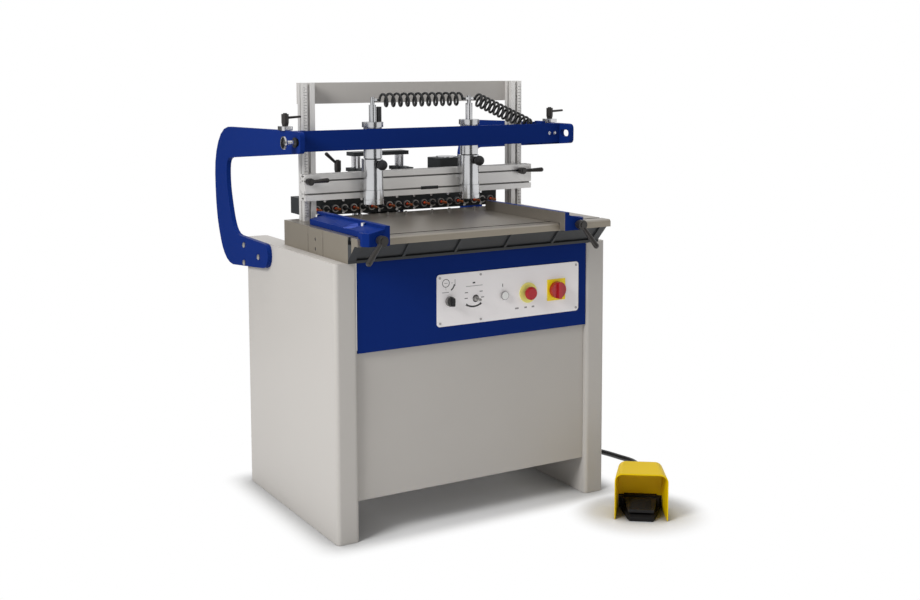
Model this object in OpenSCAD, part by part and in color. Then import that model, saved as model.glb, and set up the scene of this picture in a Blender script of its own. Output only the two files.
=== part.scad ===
// Line boring machine with 21 geared spindles, two pneumatic pressers and a foot switch.
// Sizes are millimetres, +X is right, +Y is back and +Z is up. The front is at -Y.

/* [Stand] */
// Width over the two side pillars
machine_w = 935; // [900:5:1000]
// Width of one pillar
pillar_w = 70; // [60:1:76]
// Depth of a pillar from front to back
pillar_d = 680; // [640:5:760]
// Height of a pillar
pillar_h = 810; // [720:5:900]
// Rounding of the pillar's upright edges
pillar_r = 12; // [6:1:18]
// Sheet thickness of pillars and panels
sheet_t = 3; // [2:0.5:4]
// Width of the foot rim under a pillar
foot_rim = 18; // [12:1:24]
// Open height under the lower panel
toe_h = 115; // [60:5:200]
// Height of the blue fascia
fascia_h = 262; // [220:2:320]
// Depth of the folded edges of both panels
fold_d = 24; // [12:1:40]
// How far the fascia lies behind the pillar fronts
fascia_in = 5; // [4:1:12]
// How far the lower panel lies behind the pillar fronts
panel_in = 16; // [10:1:40]

/* [Controls] */
// Width of the control plate
plate_w = 508; // [480:2:540]
// Height of the control plate
plate_h = 155; // [130:1:180]
// Thickness of the control plate
plate_t = 2; // [1:0.5:3]
// Corner rounding of the control plate
plate_r = 10; // [4:1:16]
// Centre of the plate to the right of the machine's centre
plate_x = 114; // [90:1:120]
// Hole for each switch body
switch_hole_d = 22; // [18:1:26]
// Diameter of the selector knob
selector_d = 30; // [24:1:36]
// Diameter of the push button
button_d = 26; // [24:1:32]
// Diameter of the emergency stop's head
stop_d = 40; // [32:1:46]
// Diameter of the main switch's handle
main_d = 52; // [36:1:56]
// Side of the main switch's square collar
main_side = 66; // [60:1:72]

/* [Table] */
// Width of the table
table_w = 865; // [845:5:895]
// Depth of the table from lip to rear edge
table_d = 518; // [500:2:560]
// Height of the table casting
table_h = 77; // [70:1:90]
// Overhang of the lip in front of the pillars
lip_over = 75; // [65:1:90]
// Thickness of the table's slab
slab_t = 16; // [12:0.5:17]
// Thickness of the end cheeks
cheek_t = 25; // [16:1:30]
// Height of the lip's front face
lip_h = 22; // [16:1:28]
// Width of the clamping slot's mouth
slot_w = 12; // [10:1:14]
// Number of ribs on the apron
rib_n = 6; // [3:1:9]
// Thickness of an apron rib
rib_t = 8; // [5:1:12]

/* [Columns and beam] */
// Side of the square column profile
profile = 40; // [38:1:44]
// Width of the profile's slots
profile_slot = 8; // [6:0.5:10]
// Length of the columns above the table
column_h = 422; // [400:2:480]
// Height of the bar that ties the columns
tie_h = 65; // [40:1:80]
// Thickness of the bar that ties the columns
tie_t = 6; // [4:1:10]
// Length of the pressure beam
beam_l = 817; // [800:1:850]
// Height of the pressure beam
beam_h = 80; // [76:1:88]
// Width of the beam's slots
beam_slot = 5; // [4:0.5:8]
// Height of the beam's underside over the table
beam_up = 66; // [60:1:80]

/* [Pressers] */
// Diameter of the presser's cylinder
presser_d = 63; // [56:1:66]
// Diameter of cap and foot
foot_d = 66; // [60:1:68]
// Height of the foot
foot_h = 44; // [30:1:50]
// Height of the foot's sole over the table
foot_up = 50; // [46:1:56]
// Diameter of the foot's rod
rod_d = 20; // [14:1:24]
// Left presser's place to the left of the centre
left_presser_x = 198; // [180:1:220]
// Right presser's place to the right of the centre
right_presser_x = 146; // [130:1:160]
// Diameter of the ball knob
ball_d = 32; // [24:1:34]

/* [Bow] */
// Thickness of the bow's side arms
arm_t = 15; // [10:1:18]
// Height of the bow's front bar
bar_h = 62; // [50:1:70]
// Thickness of the bow's front bar
bar_t = 8; // [5:1:10]
// Top of the bow above the table
bow_up = 283; // [270:1:320]
// Length of the clamp plates on the arms
clamp_l = 46; // [36:1:60]
// Width of the clamp plates on the arms
clamp_w = 34; // [28:1:40]

/* [Fences] */
// Width of a side fence
fence_w = 78; // [70:1:84]
// Height of the fence over the table at its front
fence_h = 35; // [30:1:36]
// Height of the fence's outer shelf
shelf_h = 16; // [10:1:22]
// Thickness of the fence's tall inner wall
fence_wall = 16; // [12:1:20]
// Left fence's inner face from the table's left end
left_fence_in = 86; // [82:1:98]
// Right fence's inner face from the table's right end
right_fence_in = 192; // [172:1:194]
// Width of the fence's shelf
shelf_w = 65; // [56:1:68]

/* [Boring head] */
// Distance between neighbouring spindles
pitch = 32; // [30:0.5:32]
// Height of the spindles over the table
spindle_up = 24; // [23:0.5:28]
// Diameter of a chuck
chuck_d = 24; // [18:1:26]
// Length of a chuck
chuck_l = 14; // [10:1:20]
// Diameter of a boring bit
bit_d = 8; // [5:1:10]
// Length of a bit outside its chuck
bit_l = 35; // [30:1:36]
// Diameter of a spindle shaft
shaft_d = 14; // [10:1:16]
// Width of a spindle gear
gear_w = 14; // [10:1:18]
// Depth of the gear housing
head_d = 115; // [100:1:120]
// Height of the gear housing above the spindle axis
head_over = 32; // [26:1:36]
// Diameter of the motor
motor_d = 120; // [100:1:124]
// Length of the motor
motor_l = 196; // [160:2:220]
// Diameter of a guide post
post_d = 16; // [12:1:20]

/* [Foot switch] */
// Width of the guard
guard_w = 160; // [140:1:180]
// Depth of the guard
guard_d = 122; // [110:1:150]
// Height of the guard
guard_h = 142; // [120:1:160]
// Turn of the foot switch about the upright
pedal_turn = -37; // [-45:1:-20]

/* [Hidden] */
$fn = 48;

// Where the machine's centre plane and pillar fronts lie about the origin
machine_x = -8;
machine_y = -299;

// Gap between pieces that move or lie beside each other, and overrun of all cuts
fit = 0.3;
cut = 1;

// Colours
grey = [0.74, 0.72, 0.70];
blue = [0.09, 0.15, 0.39];
iron = [0.55, 0.53, 0.49];
black = [0.14, 0.14, 0.15];
silver = [0.80, 0.80, 0.81];

// Main planes
half_w = machine_w / 2;
inner_w = machine_w - 2 * pillar_w;
table_z = pillar_h + table_h;
lip_y = -lip_over;
rear_y = table_d - lip_over;
fascia_z = pillar_h - fascia_h;

// Spindle row and gear housing
spindle_n = 21;
row_l = (spindle_n - 1) * pitch;
head_end = 31;
head_l = row_l + 2 * head_end;
spindle_z = table_z + spindle_up;
chuck_gap = 3;
chuck_y = rear_y + chuck_gap;
head_y = chuck_y + chuck_l + fit;
head_clear = 3;
head_under = spindle_up - head_clear;
head_wall = 18;
head_top = spindle_z + head_over;
motor_plate_t = 8;
journal_step = 2;
journal_d = shaft_d - 2 * journal_step;
journal_l = 5;
gear_teeth = 16;
gear_module = pitch / gear_teeth;
gear_back = 17;
gear_y = head_wall + gear_back;
tooth_root_share = 0.30;
tooth_pitch_share = 0.225;
tooth_tip_share = 0.11;
root_share = 1.2;
tip_share = 0.85;
gear_gap = 0.6;
gear_root = gear_module * (gear_teeth / 2 - root_share);
gear_tip = gear_module * (gear_teeth / 2 + tip_share);
gear_room = gear_tip + gear_gap;

// Columns and pressing unit
column_gap = 9;
column_x = (head_l + column_gap + profile) / 2;
column_in = 71;
column_y = rear_y - column_in;
beam_z = table_z + beam_up;
beam_y = column_y - fit - profile;
presser_gap = 2;
presser_y = beam_y - presser_gap - foot_d / 2;
bow_top = table_z + bow_up;
bar_gap = 3;
bar_y = presser_y - foot_d / 2 - bar_gap - bar_t;

// Rectangle with round corners
module round_rect(w, h, r) {
    square([w - 2 * r, h], center = true);
    square([w, h - 2 * r], center = true);
    for (sx = [-1, 1], sy = [-1, 1])
        translate([sx * (w / 2 - r), sy * (h / 2 - r)]) circle(r);
}

// Bar of diameter d along +X, +Y or -Y from the origin
module rod_x(d, l) rotate([0, 90, 0]) cylinder(d = d, h = l);
module rod_y(d, l) rotate([-90, 0, 0]) cylinder(d = d, h = l);
module rod_front(d, l) rotate([90, 0, 0]) cylinder(d = d, h = l);

// Profile drawn in depth and height, extruded along X about the middle
module along_x(l) translate([-l / 2, 0, 0]) rotate([90, 0, 90]) linear_extrude(l) children();

// Everything of the machine is placed in its own frame first
module machine() translate([machine_x, machine_y, 0]) children();

// Points on a cubic curve, without its last point
curve_steps = 6;
function curve(a, b, c, d) = [
    for (i = [0 : curve_steps - 1])
        let (t = i / curve_steps, u = 1 - t)
            u * u * u * a + 3 * u * u * t * b + 3 * u * t * t * c + t * t * t * d
];

// Side pillar, a hollow sheet box with a rim to stand on
module pillar() {
    translate([0, pillar_d / 2, 0]) difference() {
        linear_extrude(pillar_h) round_rect(pillar_w, pillar_d, pillar_r);
        translate([0, 0, sheet_t])
            linear_extrude(pillar_h - 2 * sheet_t)
                round_rect(pillar_w - 2 * sheet_t, pillar_d - 2 * sheet_t, pillar_r - sheet_t);
        translate([0, 0, -cut])
            linear_extrude(sheet_t + 2 * cut)
                square([pillar_w - 2 * foot_rim, pillar_d - 2 * foot_rim], center = true);
    }
}

module pillars() color(grey) machine() {
    for (s = [-1, 1])
        difference() {
            translate([s * (half_w - pillar_w / 2), 0, 0]) pillar();
            arm_bolt_places(s) translate([0, 0, -2 * sheet_t]) cylinder(d = bolt_d + fit, h = 4 * sheet_t);
        }
}

// Lower panel and fascia, each a sheet with folded edges at the top and the bottom
module folded_panel(w, h) {
    cube([w, sheet_t, h]);
    for (z = [0, h - sheet_t]) translate([0, 0, z]) cube([w, fold_d, sheet_t]);
}

module front_panels() {
    panel_w = inner_w - 2 * fit;
    machine() {
        color(grey) translate([-panel_w / 2, panel_in, toe_h]) folded_panel(panel_w, fascia_z - fit - toe_h);
        color(blue) difference() {
            translate([-panel_w / 2, fascia_in, fascia_z]) folded_panel(panel_w, fascia_h);
            switch_holes(switch_hole_d + fit);
        }
    }
}

// Controls in a row, as shares of the plate's width from its left edge
switch_shares = [0.085, 0.262, 0.455, 0.628, 0.832];
switch_up = 122;
plate_up = 48;
switch_z = fascia_z + switch_up;
plate_z = fascia_z + plate_up;
function switch_x(i) = plate_x + switch_shares[i] * plate_w - plate_w / 2;
switch_neck = 12;

module switch_holes(d) {
    for (i = [0 : len(switch_shares) - 1])
        translate([switch_x(i), fascia_in - plate_t - cut, switch_z]) rod_y(d, fold_d);
}

module control_plate() color(silver) machine() difference() {
    translate([plate_x, fascia_in, plate_z + plate_h / 2])
        rotate([90, 0, 0]) linear_extrude(plate_t) round_rect(plate_w, plate_h, plate_r);
    switch_holes(switch_hole_d + fit);
}

// Places a control in front of the plate, with +Z pointing at the user and its neck in the hole
module at_switch(i) machine()
    translate([switch_x(i), fascia_in - plate_t, switch_z]) rotate([90, 0, 0]) children();

collar_t = 3;
neck_d = switch_hole_d - 2 * fit;

module switch_shaft(rise) translate([0, 0, -switch_neck]) cylinder(d = neck_d, h = switch_neck + rise);

module selector_knob() at_switch(0) {
    knob_h = 18;
    grip_t = 8;
    grip_share = 0.8;
    color(black) {
        switch_shaft(2 * fit);
        translate([0, 0, fit]) cylinder(d = selector_d, h = knob_h / 2);
        translate([0, 0, knob_h / 2]) intersection() {
            cylinder(d1 = selector_d, d2 = selector_d * grip_share, h = knob_h);
            cube([grip_t, selector_d, 2 * knob_h], center = true);
        }
    }
}

module toggle() at_switch(1) {
    bat_d = 8;
    bat_l = 27;
    bat_share = 0.7;
    ball_share = 0.8;
    toggle_pin_d = 5;
    toggle_pin_l = neck_d - 2 * fit;
    color(silver) {
        sphere(d = neck_d * ball_share);
        translate([-toggle_pin_l / 2, 0, 0]) rod_x(toggle_pin_d, toggle_pin_l);
        cylinder(d1 = bat_d * bat_share, d2 = bat_d, h = bat_l);
        translate([0, 0, bat_l]) sphere(d = bat_d);
    }
}

module start_button() at_switch(2) {
    button_up = 5;
    button_h = 5;
    color("white") {
        switch_shaft(button_up + fit);
        translate([0, 0, button_up]) cylinder(d = button_d, h = button_h);
    }
}

module emergency_stop() at_switch(3) {
    stem_h = 14;
    rim_h = 7;
    crown_h = 5;
    crown_share = 0.8;
    color("firebrick") {
        switch_shaft(stem_h + fit);
        translate([0, 0, stem_h]) cylinder(d = stop_d, h = rim_h);
        translate([0, 0, stem_h + rim_h]) cylinder(d1 = stop_d, d2 = stop_d * crown_share, h = crown_h);
    }
}

module main_switch() at_switch(4) {
    base_h = 15;
    grip_h = 8;
    grip_t = 13;
    color("firebrick") {
        switch_shaft(collar_t + 2 * fit);
        translate([0, 0, collar_t + fit]) cylinder(d = main_d, h = base_h);
        translate([0, 0, collar_t + base_h]) intersection() {
            cylinder(d = main_d, h = grip_h);
            translate([0, 0, grip_h / 2]) cube([grip_t, main_d, grip_h], center = true);
        }
    }
}

// Cast table. Profiles are drawn in depth and height from the lip's top front edge line.
nose_r = 9;
apron_t = 10;
lip_foot = 18;
apron_back = 63;
apron_in = 8;
flange_t = 8;
flange_d = 30;
slot_y = 51;
slot_d = 22;
slot_lip = 10;
slot_floor = 13;
tee_w = 22;
lug_t = 14;
lug_r = 12;
pivot_in = 11;
pivot_down = 27;
pivot_d = 14;
lug_x = 270;
pivot_y = rear_y - pivot_in;
pivot_z = table_z - pivot_down;

// Outline of the lip's nose, round at the top front
function nose() = [for (a = [90 : 15 : 180]) [nose_r + nose_r * cos(a), -nose_r + nose_r * sin(a)]];

module table_section() {
    polygon(concat(nose(), [
        [0, -lip_h],
        [lip_foot + apron_in, -lip_h],
        [apron_back + apron_in, flange_t - table_h],
        [apron_back, flange_t - table_h],
        [apron_back, -table_h],
        [apron_back + flange_d, -table_h],
        [apron_back + flange_d, flange_t - table_h],
        [apron_back + apron_in + apron_t + nose_r / 2, flange_t - table_h],
        [lip_foot + apron_in + 2 * apron_t, -slot_d - slot_floor],
        [slot_y + slot_d, -slot_d - slot_floor],
        [slot_y + slot_d, -slab_t],
        [table_d, -slab_t],
        [table_d, 0]
    ]));
}

module cheek_section() {
    polygon(concat(nose(), [
        [0, -lip_h],
        [lip_foot, -lip_h],
        [apron_back, flange_t - table_h],
        [apron_back, -table_h],
        [table_d, -table_h],
        [table_d, 0]
    ]));
}

// Places of the shallow joint lines on the cheeks, from the lip
joint_line_shares = [0.445, 0.650];
line_w = 2;
line_deep = 1.2;
cheek_screw_d = 9;
cheek_screw_shares = [0.42, 0.80];
cheek_screw_y = (joint_line_shares[0] + joint_line_shares[1]) / 2 * table_d;

module table() color(iron) machine() translate([0, lip_y, table_z]) difference() {
    union() {
        along_x(table_w) table_section();
        for (s = [-1, 1])
            translate([s * (table_w - cheek_t) / 2, 0, 0]) along_x(cheek_t) cheek_section();
        for (i = [0 : rib_n - 1])
            translate([(2 * i / (rib_n - 1) - 1) * (table_w - rib_t) / 2, 0, 0])
                along_x(rib_t) polygon([
                    [lip_foot, -lip_h],
                    [lip_foot + apron_in + apron_t, -lip_h],
                    [apron_back + apron_in + apron_t, flange_t - table_h],
                    [apron_back, flange_t - table_h]
                ]);
        for (s = [-1, 1])
            translate([s * lug_x, table_d - pivot_in, -pivot_down]) along_x(lug_t) {
                circle(lug_r);
                translate([-lug_r, 0]) square([2 * lug_r, pivot_down - slab_t + cut]);
            }
    }
    translate([0, slot_y - slot_w / 2, -slot_lip - cut])
        along_x(table_w + 2 * cut) square([slot_w, slot_lip + 2 * cut]);
    translate([0, slot_y - tee_w / 2, -slot_d]) along_x(table_w + 2 * cut) square([tee_w, slot_d - slot_lip]);
    translate([-lug_x - lug_t, table_d - pivot_in, -pivot_down]) rod_x(pivot_d + fit, 2 * (lug_x + lug_t));
    for (s = [-1, 1], share = joint_line_shares)
        translate([s * table_w / 2, share * table_d, -table_h / 2])
            cube([2 * line_deep, line_w, table_h + 2 * cut], center = true);
    for (s = [-1, 1], share = cheek_screw_shares)
        translate([s * table_w / 2 - cheek_screw_d / 2, cheek_screw_y, -share * table_h])
            rod_x(cheek_screw_d + fit, cheek_screw_d);
}

// Slotted square profile, drawn flat, with cells of one module side by side
profile_lip = 4.5;
profile_deep = 11;
profile_room = 20;
profile_bore = 7;

module profile_slot_cut(w) {
    translate([-w / 2, -profile_lip - cut]) square([w, profile_lip + 2 * cut]);
    translate([-profile_room / 2, -profile_lip - (profile_deep - profile_lip) / 2])
        square([profile_room, (profile_deep - profile_lip) / 2]);
    translate([-w / 2, -profile_deep]) square([w, profile_deep - profile_lip]);
}

module column_section() difference() {
    square(profile, center = true);
    for (a = [0 : 90 : 270]) rotate(a) translate([0, profile / 2]) profile_slot_cut(profile_slot);
    circle(d = profile_bore);
}

module columns() color(silver) machine() {
    for (s = [-1, 1])
        translate([s * column_x, column_y + profile / 2, table_z]) linear_extrude(column_h) column_section();
    tie_l = 2 * column_x + profile;
    color(grey) translate([-tie_l / 2, column_y + profile + fit, table_z + column_h - tie_h])
        cube([tie_l, tie_t, tie_h]);
}

// Pressure beam with keys in the column slots
key_deep = 3;
key_l = 60;
stud_d = 8;
stud_l = 12;
upper_slot_share = 0.75;
left_lever_in = 8;
right_lever_in = 46;
lever_z = beam_z + beam_h * upper_slot_share;
left_lever_x = left_lever_in - beam_l / 2;
right_lever_x = beam_l / 2 - right_lever_in;

module beam_section() difference() {
    square([profile, beam_h], center = true);
    for (s = [-1, 1]) {
        for (t = [-1, 1])
            translate([s * profile / 2, t * beam_h / 4]) rotate(-90 * s) profile_slot_cut(beam_slot);
        translate([0, s * beam_h / 2]) rotate(s > 0 ? 0 : 180) profile_slot_cut(beam_slot);
        translate([0, s * beam_h / 4]) circle(d = profile_bore);
    }
}

module beam() color(silver) machine() difference() {
    union() {
        translate([0, beam_y + profile / 2, beam_z + beam_h / 2]) along_x(beam_l) beam_section();
        for (s = [-1, 1])
            translate([s * column_x, beam_y + profile - fit, beam_z + (beam_h - key_l) / 2])
                translate([fit - profile_slot / 2, 0, 0])
                    cube([profile_slot - 2 * fit, key_deep + fit, key_l]);
    }
    for (x = [left_lever_x, right_lever_x])
        translate([x, beam_y - cut, lever_z]) rod_y(stud_d + fit, stud_l + 2 * cut);
}

// Clamp lever with its hub on +Z, its stud below and its handle along +X
hub_d = 22;
hub_foot_share = 0.8;
hub_foot_h = 10;
hub_h = 26;
hub_cap_share = 0.55;
hub_cap_h = 3;
grip_share = 0.68;
grip_rise = 15;
grip_d = [9, 15];

module clamp_lever(grip_l, rise, hub, tall, grip) color(black) {
    translate([0, 0, 2 * fit - stud_l]) cylinder(d = stud_d - fit, h = stud_l);
    translate([0, 0, fit]) cylinder(d1 = hub * hub_foot_share, d2 = hub, h = hub_foot_h);
    translate([0, 0, fit + hub_foot_h]) cylinder(d = hub, h = tall - hub_foot_h);
    translate([0, 0, tall]) cylinder(d = hub * hub_cap_share, h = hub_cap_h);
    translate([0, 0, tall * grip_share]) rotate([0, 90 - rise, 0]) {
        cylinder(d1 = grip[0], d2 = grip[1], h = grip_l);
        translate([0, 0, grip_l]) sphere(d = grip[1]);
    }
}

left_handle = 52;
right_handle = 66;
module beam_lever_left() machine() translate([left_lever_x, beam_y, lever_z])
    rotate([90, 0, 0]) rotate([0, 0, 4]) clamp_lever(left_handle, grip_rise, hub_d, hub_h, grip_d);
module beam_lever_right() machine() translate([right_lever_x, beam_y, lever_z])
    rotate([90, 0, 0]) rotate([0, 0, 2]) clamp_lever(right_handle, grip_rise, hub_d, hub_h, grip_d);

// Pneumatic presser, turned parts on one axis, with a pad that hangs on the beam
foot_z = table_z + foot_up;
tube_z = foot_z + foot_h + fit;
tube_l = 94;
neck_l = 98;
neck_w = 57;
neck_gap = 3;
cap_h = 16;
sleeve_d = 22;
sleeve_l = 52;
nipple_d = 13;
nipple_l = 24;
port_d = 10;
port_l = 14;
port_up = 14;
hose_d = 7;
pad_w = 44;
pad_h = 74;
rod_l = 60;
knob_down = 15;
knob_stem_d = 10;
knob_stem_l = 9;
neck_z = tube_z + tube_l;
cap_z = neck_z + neck_l;
sleeve_z = cap_z + cap_h;
nipple_z = sleeve_z + sleeve_l;
port_z = nipple_z + port_up;
knob_z = neck_z - knob_down;

module presser_body() {
    difference() {
        union() {
            translate([0, 0, tube_z]) cylinder(d = presser_d, h = tube_l);
            translate([0, 0, neck_z]) cylinder(d = neck_w - 2 * neck_gap, h = neck_gap);
            translate([0, 0, neck_z + neck_gap]) cylinder(d = neck_w, h = neck_l - neck_gap);
            translate([0, 0, cap_z]) cylinder(d = foot_d, h = cap_h);
            translate([0, 0, sleeve_z]) cylinder(d = sleeve_d, h = sleeve_l);
            translate([0, 0, nipple_z]) cylinder(d = nipple_d, h = nipple_l);
            translate([-pad_w / 2, 0, tube_z + tube_l - pad_h])
                cube([pad_w, beam_y - presser_y - fit, pad_h]);
            translate([-pad_w / 2, beam_y - presser_y - 2 * fit, lever_z - beam_slot / 2 + fit])
                cube([pad_w, key_deep, beam_slot - 2 * fit]);
        }
        translate([0, 0, tube_z - cut]) cylinder(d = rod_d + 2 * fit, h = rod_l + 2 * cut);
        translate([0, 0, knob_z]) rotate([90, 0, 0])
            translate([0, 0, presser_d / 2 - knob_stem_l]) cylinder(d = knob_stem_d + 2 * fit, h = presser_d);
    }
}

module presser_left() color(silver) machine() translate([-left_presser_x, presser_y, 0]) {
    silencer_d = 16;
    silencer_l = 46;
    silencer_gap = 3;
    silencer_x = (sleeve_d + silencer_d) / 2 + silencer_gap;
    presser_body();
    translate([0, 0, port_z]) rod_x(port_d, port_l);
    color(black) translate([silencer_x, 0, sleeve_z]) cylinder(d = silencer_d, h = silencer_l);
}

module presser_right() color(silver) machine() translate([right_presser_x, presser_y, 0]) {
    presser_body();
    translate([-port_l, 0, port_z]) rod_x(port_d, 2 * port_l);
}

module presser_foot() color(silver) {
    groove_z = 13;
    groove_h = 4;
    groove_deep = 2;
    sole_d = 12;
    sole_deep = 9;
    difference() {
        union() {
            translate([0, 0, foot_z]) cylinder(d = foot_d, h = groove_z);
            translate([0, 0, foot_z + groove_z]) cylinder(d = foot_d - 2 * groove_deep, h = groove_h);
            translate([0, 0, foot_z + groove_z + groove_h])
                cylinder(d = foot_d, h = foot_h - groove_z - groove_h);
            translate([0, 0, foot_z + foot_h - fit]) cylinder(d = rod_d, h = rod_l - groove_h);
        }
        translate([0, 0, foot_z - cut]) cylinder(d = sole_d, h = sole_deep + cut);
    }
}

module foot_left() machine() translate([-left_presser_x, presser_y, 0]) presser_foot();
module foot_right() machine() translate([right_presser_x, presser_y, 0]) presser_foot();

module presser_knob() color(black) translate([0, 0, knob_z]) rotate([90, 0, 0]) {
    base_d = 24;
    base_h = 12;
    ball_up = 32;
    translate([0, 0, presser_d / 2 - knob_stem_l + fit]) cylinder(d = knob_stem_d, h = knob_stem_l + ball_up);
    translate([0, 0, presser_d / 2 + fit]) cylinder(d = base_d, h = base_h);
    translate([0, 0, presser_d / 2 + ball_up]) sphere(d = ball_d);
}

module presser_knob_left() machine() translate([-left_presser_x, presser_y, 0]) presser_knob();
module presser_knob_right() machine() translate([right_presser_x, presser_y, 0]) presser_knob();

// Bow with two C-shaped side arms, open to the front, and a bar across
arm_nose = 60;
arm_back = 244;
arm_drop = 102;
arm_front_y = bar_y - arm_nose;
arm_size_share = 2.996;
arm_size = arm_size_share * arm_back;
arm_low_z = pillar_h - arm_drop;
arm_tall = bow_top - arm_low_z;
bolt_d = 10;
bolt_head_d = 18;
bolt_head_h = 7;
bolt_dome_r = 12;
arm_slot_l = 46;
arm_slot_h = 22;
arm_slot_in = 32;
arm_slot_y = arm_front_y + arm_slot_in;
arm_slot_z = bow_top - bar_h / 2;

// Outline of an arm as shares of its size from the front and of its height from below. The nose keeps to the
// front bar, and the rest to the pillar's rear face.
arm_nose_share = 0.1;
function arm_y(share) =
    share < arm_nose_share ? arm_front_y + share * arm_size : pillar_d + arm_back - (1 - share) * arm_size;

arm_shares = concat(
    curve([0.03, 0.861], [0.008, 0.861], [0, 0.875], [0, 0.90]),
    curve([0, 0.96], [0, 0.99], [0.008, 1], [0.03, 1]),
    [[0.03, 1], [0.215, 1]],
    curve([0.816, 0.983], [0.93, 0.97], [1, 0.80], [1, 0.63]),
    curve([1, 0.63], [1, 0.42], [0.985, 0.29], [0.945, 0.171]),
    curve([0.945, 0.171], [0.925, 0.10], [0.88, 0], [0.785, 0]),
    [[0.785, 0]],
    curve([0.43, 0.05], [0.385, 0.055], [0.365, 0.09], [0.365, 0.143]),
    curve([0.365, 0.143], [0.367, 0.19], [0.375, 0.219], [0.406, 0.219]),
    [[0.406, 0.219]],
    curve([0.70, 0.225], [0.765, 0.228], [0.79, 0.30], [0.816, 0.416]),
    curve([0.816, 0.416], [0.835, 0.50], [0.846, 0.56], [0.846, 0.64]),
    curve([0.846, 0.64], [0.846, 0.74], [0.83, 0.765], [0.775, 0.768]),
    [[0.775, 0.768]]
);
arm_bolt_shares = [[0.638, 0.169], [0.466, 0.119], [0.640, 0.045]];

module arm_outline() polygon([for (p = arm_shares) [arm_y(p[0]), p[1] * arm_tall]]);

// Children at the arm bolts of one side, on the pillar's outer face
module arm_bolt_places(s) {
    for (p = arm_bolt_shares)
        translate([s * half_w, arm_y(p[0]), arm_low_z + p[1] * arm_tall])
            rotate([0, 90 * s, 0]) children();
}

module bow_arms() color(blue) machine() {
    for (s = [-1, 1])
        difference() {
            translate([s * (half_w + arm_t / 2), 0, arm_low_z]) along_x(arm_t) arm_outline();
            arm_bolt_places(s) translate([0, 0, -cut]) cylinder(d = bolt_d + fit, h = arm_t + 2 * cut);
            translate([s * (half_w + arm_t / 2), arm_slot_y, arm_slot_z]) along_x(arm_t + 2 * cut)
                round_rect(arm_slot_l, arm_slot_h, arm_slot_h / 2 - fit);
        }
}

// Front bar with its end blocks and hose bracket, and the clamp plates on the arms
end_block_w = 30;
end_block_d = 22;
clamp_t = 12;
clamp_r = 8;
clamp_in = 60;
clamp_y = bar_y + bar_t + clamp_in;
bracket_x = 404;
bracket_w = 12;
bracket_up = 8;
bracket_h = 30;
bracket_over = 8;
hose_end_z = bow_top + bracket_up - bracket_h / 2;

module bow_bar() machine() {
    bar_l = machine_w - 2 * fit;
    color(blue) {
        translate([-bar_l / 2, bar_y, bow_top - bar_h]) cube([bar_l, bar_t, bar_h]);
        for (s = [-1, 1])
            translate([s * (bar_l - end_block_w) / 2 - end_block_w / 2, bar_y + bar_t, bow_top - bar_h])
                cube([end_block_w, end_block_d, bar_h]);
        translate([bracket_x, bar_y + bar_t, bow_top + bracket_up - bracket_h])
            cube([bracket_w, presser_y + bracket_over - bar_y - bar_t, bracket_h]);
    }
    color(silver) translate([bracket_x - port_l, presser_y, hose_end_z]) rod_x(port_d, port_l);
    color(silver) for (s = [-1, 1])
        translate([s * (half_w + arm_t / 2), clamp_y, bow_top + fit]) difference() {
            linear_extrude(clamp_t) round_rect(clamp_w, clamp_l, clamp_r);
            translate([0, 0, -cut]) cylinder(d = stud_d + fit, h = clamp_t + 2 * cut);
        }
}

bow_handle = 45;
bow_lever_turn = -12;
bow_hub_h = 36;
bow_rise = 4;
bow_grip = [8, 7];
module bow_lever(s) machine() translate([s * (half_w + arm_t / 2), clamp_y, bow_top + clamp_t + fit])
    rotate([0, 0, bow_lever_turn]) clamp_lever(bow_handle, bow_rise, hub_d, bow_hub_h, bow_grip);
module bow_lever_left() bow_lever(-1);
module bow_lever_right() bow_lever(1);

// Knob whose sleeve sits in the left arm's slot
module bow_knob() machine() translate([-half_w, arm_slot_y, arm_slot_z]) rotate([0, -90, 0]) {
    flange_w = 30;
    flange_h = 5;
    spindle_w = 13;
    spindle_l = 26;
    disc_d = 38;
    disc_h = 9;
    sleeve_h = arm_t + 2 * fit;
    color(black) {
        translate([0, 0, -flange_h - fit]) cylinder(d = flange_w, h = flange_h);
        translate([0, 0, -2 * fit]) cylinder(d = arm_slot_h - 3 * fit, h = sleeve_h + 2 * fit);
        translate([0, 0, sleeve_h - fit]) cylinder(d = flange_w, h = flange_h);
    }
    color(silver) {
        translate([0, 0, sleeve_h]) cylinder(d = spindle_w, h = spindle_l);
        translate([0, 0, sleeve_h + spindle_l]) cylinder(d1 = spindle_w, d2 = disc_d, h = disc_h);
        translate([0, 0, sleeve_h + spindle_l + disc_h]) difference() {
            cylinder(d = disc_d, h = flange_h);
            translate([0, 0, fit]) cylinder(d1 = spindle_w, d2 = disc_d - spindle_w / 2, h = flange_h);
        }
    }
}

// Side fence with its inner face on the plane x = 0 and its body on +X
fence_front = 28;
fence_hang = 20;
fence_gap = 22;
fence_l = table_d - column_in - fence_gap;
fence_rear_share = 0.88;
fence_rear_cut = 56;
fence_corner = 14;
fence_block_d = 12;
left_fence_x = table_w / 2 - left_fence_in;
right_fence_x = table_w / 2 - right_fence_in;
left_lever_share = 0.42;
right_lever_share = 0.62;
fence_lever_down = 3;
nut_l = 40;
recess_over = 2;
recess_d = shelf_w - fence_wall + recess_over;
recess_foot = 14;
recess_share = 0.7;
recess_deep = recess_share * shelf_h;
recess_y = 127;

// Plan of the fence, with its depth measured from the lip
module fence_plan() polygon([
    [0, -fence_front],
    [fence_w - fence_corner, -fence_front],
    [fence_w, fence_corner - fence_front],
    [fence_w, fence_block_d],
    [shelf_w, fence_block_d + fence_w - shelf_w],
    [shelf_w, fence_l - fence_rear_cut],
    [fence_wall, fence_l],
    [0, fence_l]
]);

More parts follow.
